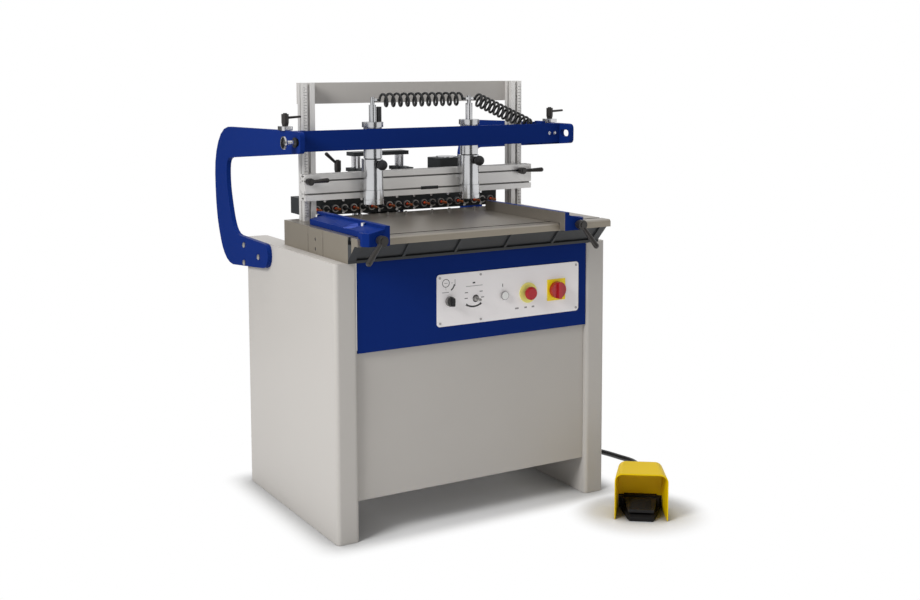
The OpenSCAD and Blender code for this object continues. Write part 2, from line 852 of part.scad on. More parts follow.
module fence(lever_share) {
    front = -fence_front;
    difference() {
        union() {
            translate([0, lip_y, table_z + fit]) rotate([90, 0, 90]) linear_extrude(fence_wall) polygon([
                [front, 0], [fence_l, 0], [fence_l, fence_h * fence_rear_share], [front, fence_h]
            ]);
            translate([0, lip_y, table_z + fit]) linear_extrude(shelf_h) fence_plan();
            translate([0, lip_y, table_z - fence_hang]) linear_extrude(fence_hang + shelf_h) intersection() {
                fence_plan();
                translate([0, front]) square([fence_w, fence_front - fit]);
            }
            translate([(fence_w - nut_l) / 2, lip_y + slot_y, table_z]) {
                translate([0, fit - slot_w / 2, -slot_lip - 2 * fit])
                    cube([nut_l, slot_w - 2 * fit, slot_lip + 4 * fit]);
                translate([0, fit - tee_w / 2, fit - slot_d])
                    cube([nut_l, tee_w - 2 * fit, slot_d - slot_lip - 2 * fit]);
            }
        }
        translate([fence_w * lever_share, lip_y + front - cut, table_z - fence_lever_down])
            rod_y(stud_d + fit, stud_l + 2 * cut);
        translate([fence_wall + fit + recess_d / 2, lip_y + recess_y, table_z + fit + shelf_h - recess_deep])
            cylinder(d1 = recess_foot, d2 = recess_d, h = recess_deep + fit);
    }
}

module fence_left() color(blue) machine()
    translate([-left_fence_x, 0, 0]) mirror([1, 0, 0]) fence(left_lever_share);
module fence_right() color(blue) machine() translate([right_fence_x, 0, 0]) fence(right_lever_share);

fence_handle = 78;
fence_hub = 30;
fence_grip = [12, 17];
left_fence_turn = -47;
right_fence_turn = -58;
fence_lever_y = lip_y - fence_front;
fence_lever_z = table_z - fence_lever_down;
module fence_lever_left() machine()
    translate([-left_fence_x - fence_w * left_lever_share, fence_lever_y, fence_lever_z])
        rotate([90, 0, 0]) rotate([0, 0, -180 - left_fence_turn])
            clamp_lever(fence_handle, grip_rise, fence_hub, hub_h, fence_grip);
module fence_lever_right() machine()
    translate([right_fence_x + fence_w * right_lever_share, fence_lever_y, fence_lever_z])
        rotate([90, 0, 0]) rotate([0, 0, right_fence_turn])
            clamp_lever(fence_handle, grip_rise, fence_hub, hub_h, fence_grip);

// Swing frame under the boring head. It turns on a shaft in the table's lugs.
swing_t = 12;
swing_hub_r = 10;
swing_base_t = 12;
swing_down = 60;
swing_near = 109;
swing_far = 292;
rail_w = 20;
rail_h = 14;
rail_x = 120;
swing_x = lug_x - lug_t / 2 - fit - swing_t / 2;
shaft_over = 6;

module swing_frame() color(black) machine() translate([0, pivot_y, pivot_z]) {
    shaft_l = 2 * (lug_x + lug_t / 2 + shaft_over);
    translate([-shaft_l / 2, 0, 0]) rod_x(pivot_d, shaft_l);
    for (s = [-1, 1])
        translate([s * swing_x, 0, 0]) along_x(swing_t) {
            circle(swing_hub_r);
            polygon([
                [0, swing_hub_r], [swing_near / 2, 0], [swing_near, rail_h - swing_down + swing_base_t],
                [swing_far, swing_base_t - swing_down], [swing_far, -swing_down], [swing_near, -swing_down],
                [0, -swing_hub_r]
            ]);
        }
    translate([-swing_x, swing_near, -swing_down]) cube([2 * swing_x, swing_far - swing_near, swing_base_t]);
    for (s = [-1, 1])
        translate([s * rail_x - rail_w / 2, swing_near, swing_base_t - swing_down])
            cube([rail_w, swing_far - swing_near, rail_h]);
}

// Feed carriage on the rails, with four guide posts and their bridge
carriage_near = swing_near + 60;
carriage_l = 104;
carriage_t = 12;
carriage_lip = 10;
post_x = 82;
post_gap = 32;
bridge_over = 22;
bridge_w = 56;
bridge_t = 13;
carriage_z = pivot_z - swing_down + swing_base_t + rail_h + fit;
post_in = 40;
bridge_up = 172;
post_y = pivot_y + carriage_near + post_in;
bridge_z = table_z + bridge_up;

module post_places() for (sx = [-1, 1], y = [0, post_gap]) translate([sx * post_x, post_y + y, 0]) children();

module feed_carriage() color(silver) machine() {
    carriage_w = 2 * rail_x + rail_w + 2 * carriage_lip + 2 * fit;
    color(black) translate([-carriage_w / 2, pivot_y + carriage_near, carriage_z])
        cube([carriage_w, carriage_l, carriage_t]);
    color(black) for (s = [-1, 1])
        translate([s * (carriage_w - carriage_lip) / 2, pivot_y + carriage_near, carriage_z])
            translate([-carriage_lip / 2, 0, fit - rail_h]) cube([carriage_lip, carriage_l, rail_h]);
    post_places() translate([0, 0, carriage_z]) cylinder(d = post_d, h = bridge_z - carriage_z);
    color(black) translate([-post_x - bridge_over, post_y + post_gap / 2 - bridge_w / 2, bridge_z])
        cube([2 * (post_x + bridge_over), bridge_w, bridge_t]);
}

// Gear housing, open at the back, where the motor's plate closes it
module gear_room_section(r) {
    square([row_l, 2 * r], center = true);
    for (s = [-1, 1]) translate([s * row_l / 2, 0]) circle(r);
}

module head_body() color(black) machine() translate([0, head_y, spindle_z]) difference() {
    translate([-head_l / 2, 0, -head_under]) cube([head_l, head_d, head_under + head_over]);
    translate([0, head_wall, 0]) rotate([-90, 0, 0]) linear_extrude(head_d) gear_room_section(gear_room);
    for (i = [0 : spindle_n - 1])
        translate([i * pitch - row_l / 2, -cut, 0]) rod_y(shaft_d + 2 * fit, head_wall + 2 * cut);
}

// Corners of one tooth, as angle from its centre and radius
gear_step = 360 / gear_teeth;
tooth = [
    [-tooth_root_share, gear_root], [-tooth_pitch_share, pitch / 2], [-tooth_tip_share, gear_tip],
    [tooth_tip_share, gear_tip], [tooth_pitch_share, pitch / 2], [tooth_root_share, gear_root]
];

// Gear whose tooth, or whose gap, points along +X
module gear(gap) linear_extrude(gear_w) polygon([
    for (i = [0 : gear_teeth - 1], c = tooth)
        let (a = (i + c[0]) * gear_step + (gap ? gear_step / 2 : 0))
            c[1] * [cos(a), sin(a)]
]);

bit_tip = 4;
module spindle(i) machine() translate([(i - 1) * pitch - row_l / 2, chuck_y, spindle_z]) {
    shaft_l = chuck_l + head_d + fit;
    color(i % 2 == 1 ? "orangered" : black) {
        rod_front(bit_d, bit_l - bit_tip);
        translate([0, bit_tip - bit_l, 0])
            rotate([90, 0, 0]) cylinder(d1 = bit_d, d2 = bit_d / 4, h = bit_tip);
    }
    color(black) rod_y(chuck_d, chuck_l);
    color(silver) {
        rod_y(shaft_d, shaft_l);
        translate([0, shaft_l - fit, 0]) rod_y(journal_d, journal_l);
        translate([0, chuck_l + fit + gear_y, 0]) rotate([-90, 0, 0]) gear(i % 2 == 0);
    }
}

// Motor on the plate that closes the gear housing
module motor() color(black) machine() translate([0, head_y + head_d + fit, spindle_z]) {
    fin_n = 20;
    fin_t = 4;
    fin_h = 7;
    cowl_l = 40;
    core_d = motor_d - 2 * fin_h;
    difference() {
        translate([-head_l / 2, 0, -head_under]) cube([head_l, motor_plate_t, head_under + head_over]);
        for (i = [0 : spindle_n - 1])
            translate([i * pitch - row_l / 2, -cut, 0]) rod_y(journal_d + 2 * fit, journal_l + cut + fit);
    }
    translate([0, motor_plate_t, 0]) rod_y(core_d, motor_l - cowl_l);
    translate([0, motor_plate_t + motor_l - cowl_l, 0]) rod_y(motor_d, cowl_l);
    for (i = [0 : fin_n - 1])
        translate([0, motor_plate_t, 0]) rotate([0, i * 360 / fin_n, 0])
            translate([-fin_t / 2, 0, 0]) cube([fin_t, motor_l - cowl_l, motor_d / 2 - fit]);
}

// Guide blocks round the posts, the black unit with its disc, and the post of the rear lever
block_w = 32;
block_up = 131;
block_top = table_z + block_up;
block_flange = 12;
block_over = 5;
unit_w = 108;
unit_d = 84;
unit_h = 108;
unit_r = 14;
unit_x = 200;
unit_disc_d = 68;
unit_disc_t = 4;
lever_post_x = 204;
lever_post_d = 30;
lever_post_h = 72;
unit_in = 80;
top_y = head_y + unit_in;
block_y = head_y + head_d + motor_plate_t + fit;

module head_fittings() color(black) machine() {
    block_l = post_y + post_gap + post_d - block_y;
    block_z = spindle_z - head_under;
    difference() {
        for (s = [-1, 1]) {
            translate([s * post_x - block_w / 2, block_y, block_z])
                cube([block_w, block_l, block_top - block_z]);
            translate([s * post_x - block_w / 2 - block_over, post_y - post_d, block_top - block_flange])
                cube([block_w + 2 * block_over, post_gap + 2 * post_d + block_over, block_flange]);
        }
        post_places() translate([0, 0, block_z - cut])
            cylinder(d = post_d + 2 * fit, h = block_top - block_z + 2 * cut);
    }
    translate([unit_x, top_y, head_top]) linear_extrude(unit_h) round_rect(unit_w, unit_d, unit_r);
    color(silver) translate([unit_x, top_y, head_top + unit_h]) cylinder(d = unit_disc_d, h = unit_disc_t);
    difference() {
        translate([-lever_post_x, top_y, head_top]) cylinder(d = lever_post_d, h = lever_post_h);
        translate([-lever_post_x, top_y, head_top + lever_post_h - stud_l])
            cylinder(d = stud_d + fit, h = 2 * stud_l);
    }
}

rear_handle = 56;
rear_turn = 190;
rear_rise = 40;
rear_hub_h = 40;
rear_grip = [8, 12];
module rear_lever() machine() translate([-lever_post_x, top_y, head_top + lever_post_h])
    rotate([0, 0, rear_turn]) clamp_lever(rear_handle, rear_rise, hub_d, rear_hub_h, rear_grip);

// Foot switch, drawn about its own middle and then turned and placed
pedal_x = 438;
pedal_y = -230;
guard_t = 3;
guard_r = 24;
guard_back_share = 0.74;
guard_taper = 5.5;
guard_overlap = 14;
guard_rear_w = guard_w - 2 * guard_d * tan(guard_taper);
base_w = 113;
base_mid_w = 86;
base_nose_w = 70;
base_h = 14;
base_over = 10;
base_nose = 24;
base_full = 44;
treadle_l = 86;
treadle_t = 10;
treadle_w = 100;
treadle_nose = 76;
treadle_dip = 4.5;
treadle_tail = 6;
hinge_d = 8;
hinge_in = 32;
hinge_z = 33;
ear_t = 6;
housing_h = 43;
gland_l = 18;
gland_d = 26;
pedal_rear = guard_d / 2;
pedal_gland_y = pedal_rear - guard_t / 2;
pedal_gland_z = 22;
housing_d = hinge_in - hinge_d - guard_t / 2 - 2 * fit;
module at_pedal() machine() translate([pedal_x, pedal_y, 0]) rotate([0, 0, pedal_turn]) children();

// Half of the hood's cross-section on +X, with some overlap over the middle
module guard_half(w, over, inset) {
    translate([-over, 0]) square([w / 2 - inset + over, guard_h - guard_r]);
    translate([-over, 0]) square([w / 2 - guard_r + over, guard_h - inset]);
    translate([w / 2 - guard_r, guard_h - guard_r]) circle(guard_r - inset);
}

module guard_bar(l, over, inset)
    rotate([90, 0, 0]) linear_extrude(l, center = true) guard_half(guard_w, over, inset);

// Bent sheet hood that narrows to the back, with a back wall that stands on the switch's housing
module guard_hood() color("gold") {
    intersection() {
        for (s = [0, 1]) mirror([s, 0, 0])
            translate([guard_w / 2, -pedal_rear, 0]) rotate([0, 0, guard_taper])
                translate([-guard_w / 2, guard_d / 2, 0]) difference() {
                    guard_bar(2 * guard_d, guard_overlap, 0);
                    translate([0, 0, -cut]) guard_bar(2 * guard_d + 2 * cut, guard_overlap + cut, guard_t);
                }
        translate([-guard_w, -pedal_rear, 0]) cube([2 * guard_w, guard_d, guard_h]);
    }
    translate([0, pedal_rear, 0]) rotate([90, 0, 0]) linear_extrude(guard_t) intersection() {
        for (s = [0, 1]) mirror([s, 0]) guard_half(guard_rear_w, 0, guard_t / 2);
        translate([-guard_w / 2, guard_h * (1 - guard_back_share)]) square([guard_w, guard_h]);
    }
}

// Half of the base's plan on +X, from the rear to its nose
module base_plan() polygon([
    [0, pedal_gland_y],
    [base_w / 2, pedal_gland_y],
    [base_w / 2, pedal_rear - base_full],
    [base_mid_w / 2, base_nose - pedal_rear - base_over],
    [base_nose_w / 2, -pedal_rear - base_over],
    [0, -pedal_rear - base_over]
]);

module pedal_guard() at_pedal() {
    guard_hood();
    color(black) {
        linear_extrude(base_h) {
            base_plan();
            mirror([1, 0]) base_plan();
        }
        difference() {
            for (s = [-1, 1])
                translate([s * (treadle_w / 2 + fit + ear_t / 2), pedal_rear - hinge_in, 0])
                    translate([-ear_t / 2, -hinge_d, 0]) cube([ear_t, 2 * hinge_d, hinge_z + hinge_d]);
            translate([-guard_w / 2, pedal_rear - hinge_in, hinge_z]) rod_x(hinge_d + fit, guard_w);
        }
        translate([-treadle_w / 2, pedal_gland_y - housing_d, base_h - fit])
            cube([treadle_w, housing_d, housing_h - base_h]);
        translate([0, pedal_gland_y - fit, pedal_gland_z]) rod_y(gland_d, gland_l);
    }
}

module pedal_treadle() at_pedal() color(black) translate([0, pedal_rear - hinge_in, hinge_z]) {
    pin_l = treadle_w + 2 * ear_t;
    translate([-pin_l / 2, 0, 0]) rod_x(hinge_d, pin_l);
    rotate([treadle_dip, 0, 0]) translate([0, 0, -treadle_t / 2]) linear_extrude(treadle_t) polygon([
        [-treadle_w / 2, treadle_tail],
        [-treadle_nose / 2, -treadle_l],
        [treadle_nose / 2, -treadle_l],
        [treadle_w / 2, treadle_tail]
    ]);
}

// Tube round a path, one ring of points a step, closed at both ends
function unit(v) = v / norm(v);
function heading(path, i) =
    unit(path[min(i + 1, len(path) - 1)] - path[max(i - 1, 0)]);

module tube(path, sides, d, marks) {
    n = len(path);
    points = [
        for (i = [0 : n - 1])
            let (t = heading(path, i), m = unit(marks[i] - (marks[i] * t) * t), b = cross(t, m))
                for (k = [0 : sides - 1])
                    path[i] + d / 2 * (cos(360 * k / sides) * m + sin(360 * k / sides) * b)
    ];
    walls = [
        for (i = [0 : n - 2], k = [0 : sides - 1])
            let (a = i * sides + k, b = i * sides + (k + 1) % sides)
                each [[a, b, a + sides], [b, b + sides, a + sides]]
    ];
    first = [for (k = [1 : sides - 2]) [0, k + 1, k]];
    last = [for (k = [1 : sides - 2]) let (o = (n - 1) * sides) [o, o + k, o + k + 1]];
    polyhedron(points, concat(walls, first, last), convexity = 10);
}

// Least gap of a path's tube to itself, leaving out the steps next to each other
function least_gap(path, d, near) = min([
    for (i = [0 : len(path) - 1], k = [i + near : 1 : len(path) - 1]) norm(path[i] - path[k])
]) - d;

// Coil hoses. Each is a helix about a straight axis, with straight ends along X.
coil_d = 46;
coil_rings = 8;
hose_sides = 6;
hose_lead = 8;
left_curls = 12;
right_curls = 13;
coil_r = (coil_d - hose_d) / 2;
hose_reach = port_l + fit;
left_hose_start = [hose_reach - left_presser_x, presser_y, port_z];
left_hose_end = [right_presser_x - hose_reach, presser_y, port_z];
right_hose_start = [right_presser_x + hose_reach, presser_y, port_z];
right_hose_end = [bracket_x - hose_reach, presser_y, hose_end_z];

// Share of the coil's radius at share t of its curls, with a part of a curl to open and to close
open_curl = 0.6;
function coil_open(t, curls) =
    let (e = min(1, min(t, 1 - t) * curls / open_curl)) e * e * (3 - 2 * e);

// Direction from the axis to the hose at share t of the curls
function coil_mark(u, t, curls) =
    let (w = [0, 1, 0], v = cross(w, u)) cos(360 * curls * t) * v + sin(360 * curls * t) * w;

function coil_path(a, b, curls) =
    let (p = a + [hose_lead, 0, 0], q = b - [hose_lead, 0, 0], u = unit(q - p), n = curls * coil_rings)
        concat([a], [
            for (i = [0 : n])
                p + (q - p) * i / n + coil_r * coil_open(i / n, curls) * coil_mark(u, i / n, curls)
        ], [b]);

function coil_marks(a, b, curls) =
    let (u = unit(b - a), n = curls * coil_rings)
        [for (i = [-1 : n + 1]) coil_mark(u, min(1, max(0, i / n)), curls)];

module coil_hose(a, b, curls) {
    path = coil_path(a, b, curls);
    echo(least_gap = least_gap(path, hose_d, coil_rings / 2));
    tube(path, hose_sides, hose_d, coil_marks(a, b, curls));
}

module coil_hoses() color(black) machine() {
    coil_hose(left_hose_start, left_hose_end, left_curls);
    coil_hose(right_hose_start, right_hose_end, right_curls);
}

// Foot switch cable, from the pedal's gland to the one on the right pillar's rear face
cord_d = 18;
cord_sides = 6;
cord_steps = 3;
cord_lead = 20;
cord_gland_z = 80;
cord_out = [-sin(pedal_turn), cos(pedal_turn), 0];
cord_start = [machine_x + pedal_x, machine_y + pedal_y, pedal_gland_z]
    + (pedal_gland_y + gland_l + fit) * cord_out;
cord_end = [machine_x + half_w - pillar_w / 2, machine_y + pillar_d + gland_l + fit, cord_gland_z];

// Points of its way over the floor, chosen by hand in the frame of the whole part
cord_floor = [
    [534, -389, 12], [624, -279, 10], [684, -204, 10], [704, -144, 10], [694, -81, 10], [677, -6, 10],
    [634, 91, 10], [594, 221, 10], [559, 341, 10], [509, 431, 12], [454, 463, 40]
];
cord_route = concat(
    [cord_start, cord_start + cord_lead * cord_out, cord_start + 2 * cord_lead * cord_out],
    cord_floor,
    [cord_end + [0, 2 * cord_lead, 0], cord_end + [0, cord_lead, 0], cord_end]
);

// Smooth path through the route's points
function route_point(p, i, t) =
    let (a = p[max(i - 1, 0)], b = p[i], c = p[i + 1], d = p[min(i + 2, len(p) - 1)])
        b + t / 2 * ((c - a) + t * ((2 * a - 5 * b + 4 * c - d) + t * (3 * b - 3 * c + d - a)));
function route_path(p, steps) = concat(
    [for (i = [0 : len(p) - 2], k = [0 : steps - 1]) route_point(p, i, k / steps)], [p[len(p) - 1]]
);

module pedal_cord() color(black) {
    path = route_path(cord_route, cord_steps);
    tube(path, cord_sides, cord_d, [for (q = path) [0, 0, 1]]);
}

// Small fixed pieces: screws, bolts, stop pins, switch collars and the cable's gland
screw_d = 7;
screw_h = 2;
screw_share = 0.205;
pin_d = 8;
pin_h = 12;
pin_in = 77;
pin_y = rear_y - pin_in;
pin_shares = [-6.5, -3.5, -1.5, 1.5, 3.5, 6.5];
collar_d = 62;

module plate_screw_places() {
    margin = plate_r;
    for (x = [margin - plate_w / 2, -plate_w * screw_share, plate_w / 2 - margin], s = [-1, 1])
        translate([plate_x + x, fascia_in - plate_t, plate_z + plate_h / 2 + s * (plate_h / 2 - margin)])
            rotate([90, 0, 0]) children();
}

module fittings() machine() {
    color(silver) {
        plate_screw_places() cylinder(d = screw_d, h = screw_h);
        for (s = [-1, 1]) arm_bolt_places(s) {
            translate([0, 0, -sheet_t]) cylinder(d = bolt_d, h = arm_t + sheet_t + fit);
            translate([0, 0, arm_t]) intersection() {
                cylinder(d = bolt_head_d, h = bolt_head_h);
                translate([0, 0, bolt_head_h - bolt_dome_r]) sphere(bolt_dome_r);
            }
        }
        for (share = pin_shares) translate([share * pitch, pin_y, table_z]) cylinder(d = pin_d, h = pin_h);
        for (s = [-1, 1], share = cheek_screw_shares)
            translate([s * (table_w - cheek_screw_d) / 2, lip_y + cheek_screw_y, table_z - share * table_h])
                rotate([0, 90 * s, 0]) cylinder(d = cheek_screw_d, h = cheek_screw_d / 3);
    }
    color("gold") {
        translate([switch_x(3), fascia_in - plate_t, switch_z]) rotate([90, 0, 0]) difference() {
            cylinder(d = collar_d, h = collar_t);
            translate([0, 0, -cut]) cylinder(d = switch_hole_d + fit, h = collar_t + 2 * cut);
        }
        translate([switch_x(4), fascia_in - plate_t, switch_z]) rotate([90, 0, 0]) difference() {
            translate([0, 0, collar_t / 2]) cube([main_side, main_side, collar_t], center = true);
            translate([0, 0, -cut]) cylinder(d = switch_hole_d + fit, h = collar_t + 2 * cut);
        }
    }
    color(black) translate([half_w - pillar_w / 2, pillar_d, cord_gland_z]) rod_y(gland_d, gland_l);
}

pillars();
front_panels();
control_plate();
table();
columns();
bow_arms();
bow_bar();
fittings();
pedal_guard();
pedal_cord();
coil_hoses();
beam();
presser_left();
presser_right();
foot_left();
foot_right();
presser_knob_left();
presser_knob_right();
fence_left();
fence_right();
fence_lever_left();
fence_lever_right();
beam_lever_left();
beam_lever_right();
bow_lever_left();
bow_lever_right();
bow_knob();
rear_lever();
selector_knob();
toggle();
start_button();
emergency_stop();
main_switch();
pedal_treadle();
swing_frame();
feed_carriage();
head_body();
head_fittings();
motor();
spindle(1);  // spindle_01
spindle(2);  // spindle_02
spindle(3);  // spindle_03
spindle(4);  // spindle_04
spindle(5);  // spindle_05
spindle(6);  // spindle_06
spindle(7);  // spindle_07
spindle(8);  // spindle_08
spindle(9);  // spindle_09
spindle(10);  // spindle_10
spindle(11);  // spindle_11
spindle(12);  // spindle_12
spindle(13);  // spindle_13
spindle(14);  // spindle_14
spindle(15);  // spindle_15
spindle(16);  // spindle_16
spindle(17);  // spindle_17
spindle(18);  // spindle_18
spindle(19);  // spindle_19
spindle(20);  // spindle_20
spindle(21);  // spindle_21
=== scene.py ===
"""Dresses a packed line boring machine with finishes, hoses, a cable, scales and small parts.

The CAD nodes keep their shapes and get procedural finishes. The air hoses and the cable are made anew.
All sizes are metres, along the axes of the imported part: +X right, +Y back, +Z up, the user at -Y.
Places count from the machine's own zero, which MACHINE gives, where nothing else is said.
"""

from __future__ import annotations

import logging
import math
from dataclasses import dataclass, field
from enum import Enum
from typing import Any, Callable, Sequence

import bpy
from mathutils import Matrix, Vector

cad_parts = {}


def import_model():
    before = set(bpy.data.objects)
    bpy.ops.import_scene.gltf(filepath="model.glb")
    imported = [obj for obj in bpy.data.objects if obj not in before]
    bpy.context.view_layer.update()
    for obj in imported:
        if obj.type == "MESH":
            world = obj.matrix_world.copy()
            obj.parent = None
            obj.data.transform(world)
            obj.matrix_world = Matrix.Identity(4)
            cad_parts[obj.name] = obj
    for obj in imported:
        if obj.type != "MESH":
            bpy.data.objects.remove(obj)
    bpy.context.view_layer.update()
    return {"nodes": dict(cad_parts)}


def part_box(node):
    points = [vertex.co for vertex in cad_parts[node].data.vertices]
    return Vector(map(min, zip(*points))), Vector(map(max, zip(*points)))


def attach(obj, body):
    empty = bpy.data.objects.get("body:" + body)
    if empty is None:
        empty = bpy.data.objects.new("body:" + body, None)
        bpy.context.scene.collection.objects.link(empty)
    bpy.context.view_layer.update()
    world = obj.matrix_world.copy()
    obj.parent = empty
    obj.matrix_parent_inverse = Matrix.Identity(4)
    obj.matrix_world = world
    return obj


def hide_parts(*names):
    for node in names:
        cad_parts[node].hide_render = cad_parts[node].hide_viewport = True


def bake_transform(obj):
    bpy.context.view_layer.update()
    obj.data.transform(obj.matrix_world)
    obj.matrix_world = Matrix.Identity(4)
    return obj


LOG = logging.getLogger("boring_machine")

Pair = tuple[float, float]
Triple = tuple[float, float, float]
Color = Triple

# Where the machine's own centre plane, pillar fronts and floor lie in the part's frame
MACHINE = Vector((-0.008, -0.299, 0.0))
ORIGIN = Vector((0.0, 0.0, 0.0))
SPINDLES = 21
TABLE_TOP = 0.887
PEDAL = (0.438, -0.230)

# Radii of the rounded edges that the finishes show
BIT_EDGE = 0.0005
FINE_EDGE = 0.0008
PART_EDGE = 0.0010
SHEET_EDGE = 0.0012
FENCE_EDGE = 0.0018

# How every finish varies: its clouds' waves a metre, their share of the colour, the spread of roughness
CLOUD_SCALE = 6.0
CLOUD_SHARE = 0.6
ROUGH_SPREAD = 0.07

# How new meshes are rounded and smoothed
BEVEL_SEGMENTS = 2
BEVEL_ANGLE = 0.6
SMOOTH_ANGLE = math.radians(40)
FINE_SIDES = 64


def srgb(red: int, green: int, blue: int) -> Color:
    """Turns an 8-bit display colour into the linear values that shaders use.

    Args:
        red: Red from 0 to 255.
        green: Green from 0 to 255.
        blue: Blue from 0 to 255.

    Returns:
        The linear colour.
    """

    def linear(channel: int) -> float:
        """Linear value of one channel."""
        share = channel / 255
        return share / 12.92 if share <= 0.04045 else ((share + 0.055) / 1.055) ** 2.4

    return linear(red), linear(green), linear(blue)


def at(x: float, y: float, z: float) -> Vector:
    """Place in the part's frame of a point in the machine's own frame."""
    return MACHINE + Vector((x, y, z))


def corners(node: str) -> tuple[Vector, Vector]:
    """Lowest and highest corner of a node's box, in the machine's own frame."""
    low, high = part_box(node)
    return Vector(low) - MACHINE, Vector(high) - MACHINE


class Axis(Enum):
    """Directions along which a part can lie or face."""

    UP = Vector((0, 0, 1))
    FRONT = Vector((0, -1, 0))
    BACK = Vector((0, 1, 0))


class Wire:
    """A shader socket that can be used in Python expressions."""

    def __init__(self, nodes: Nodes, socket: bpy.types.NodeSocket) -> None:
        """Keeps the socket and the node tree it belongs to."""
        self.nodes = nodes
        self.socket = socket

    def _math(self, operation: str, first: Any, second: Any = 0) -> Wire:
        """Adds a Math node on two operands."""
        return self.nodes.node("ShaderNodeMath", {"operation": operation}, {0: first, 1: second})

    def __add__(self, other: Any) -> Wire:
        """Sum."""
        return self._math("ADD", self, other)

    def __radd__(self, other: Any) -> Wire:
        """Sum with a number on the left."""
        return self._math("ADD", other, self)

    def __sub__(self, other: Any) -> Wire:
        """Difference."""
        return self._math("SUBTRACT", self, other)

    def __rsub__(self, other: Any) -> Wire:
        """Difference from a number."""
        return self._math("SUBTRACT", other, self)

    def __mul__(self, other: Any) -> Wire:
        """Product."""
        return self._math("MULTIPLY", self, other)

    def __rmul__(self, other: Any) -> Wire:
        """Product with a number on the left."""
        return self._math("MULTIPLY", other, self)

    def __mod__(self, other: Any) -> Wire:
        """Remainder that stays positive."""
        return self._math("FLOORED_MODULO", self, other)

    def __gt__(self, other: Any) -> Wire:
        """1 where this is greater."""
        return self._math("GREATER_THAN", self, other)

    def __lt__(self, other: Any) -> Wire:
        """1 where this is less."""
        return self._math("LESS_THAN", self, other)

    def __and__(self, other: Any) -> Wire:
        """Both of two masks, or the lesser value."""
        return self._math("MINIMUM", self, other)

    def __or__(self, other: Any) -> Wire:
        """Either of two masks, or the greater value."""
        return self._math("MAXIMUM", self, other)

    def __abs__(self) -> Wire:
        """Size without sign."""
        return self._math("ABSOLUTE", self)

    def root(self) -> Wire:
        """Square root."""
        return self._math("SQRT", self)

    def between(self, low: Any, high: Any) -> Wire:
        """1 where this lies between two limits."""
        return (self > low) & (self < high)

    def spread(self, low: float, high: float) -> Wire:
        """This share from 0 to 1, as a value of a range."""
        return self * (high - low) + low


def reach(first: Wire, second: Wire) -> Wire:
    """Distance from zero over two coordinates."""
    return (first * first + second * second).root()


@dataclass
class Place:
    """Object coordinates as three wires."""

    x: Wire
    y: Wire
    z: Wire


class Nodes:
    """A node tree that is built from expressions."""

    def __init__(self, tree: bpy.types.NodeTree) -> None:
        """Keeps the tree."""
        self.tree = tree

    def node(self, kind: str, settings: dict[str, Any], sockets: dict[Any, Any], out: Any = 0) -> Wire:
        """Adds a node.

        Args:
            kind: Blender's type of the node.
            settings: Properties that are set first.
            sockets: Values or wires of its input sockets, by name or index.
            out: Name or index of the output.

        Returns:
            The chosen output.
        """
        made = self.tree.nodes.new(kind)
        for key, value in settings.items():
            setattr(made, key, value)
        for key, value in sockets.items():
            self.feed(made.inputs[key], value)
        return Wire(self, made.outputs[out])

    def feed(self, socket: bpy.types.NodeSocket, value: Any) -> None:
        """Links a wire to a socket, or sets the socket's own value.

        Args:
            socket: Input socket.
            value: Wire, number, or colour or vector of three numbers.
        """
        if isinstance(value, Wire):
            self.tree.links.new(value.socket, socket)
        elif isinstance(value, tuple) and len(value) == 3 and socket.type == "RGBA":
            socket.default_value = (*value, 1.0)
        else:
            socket.default_value = value

    def ray(self, kind: str) -> Wire:
        """1 for rays of one kind, such as Camera or Glossy."""
        return self.node("ShaderNodeLightPath", {}, {}, f"Is {kind} Ray")


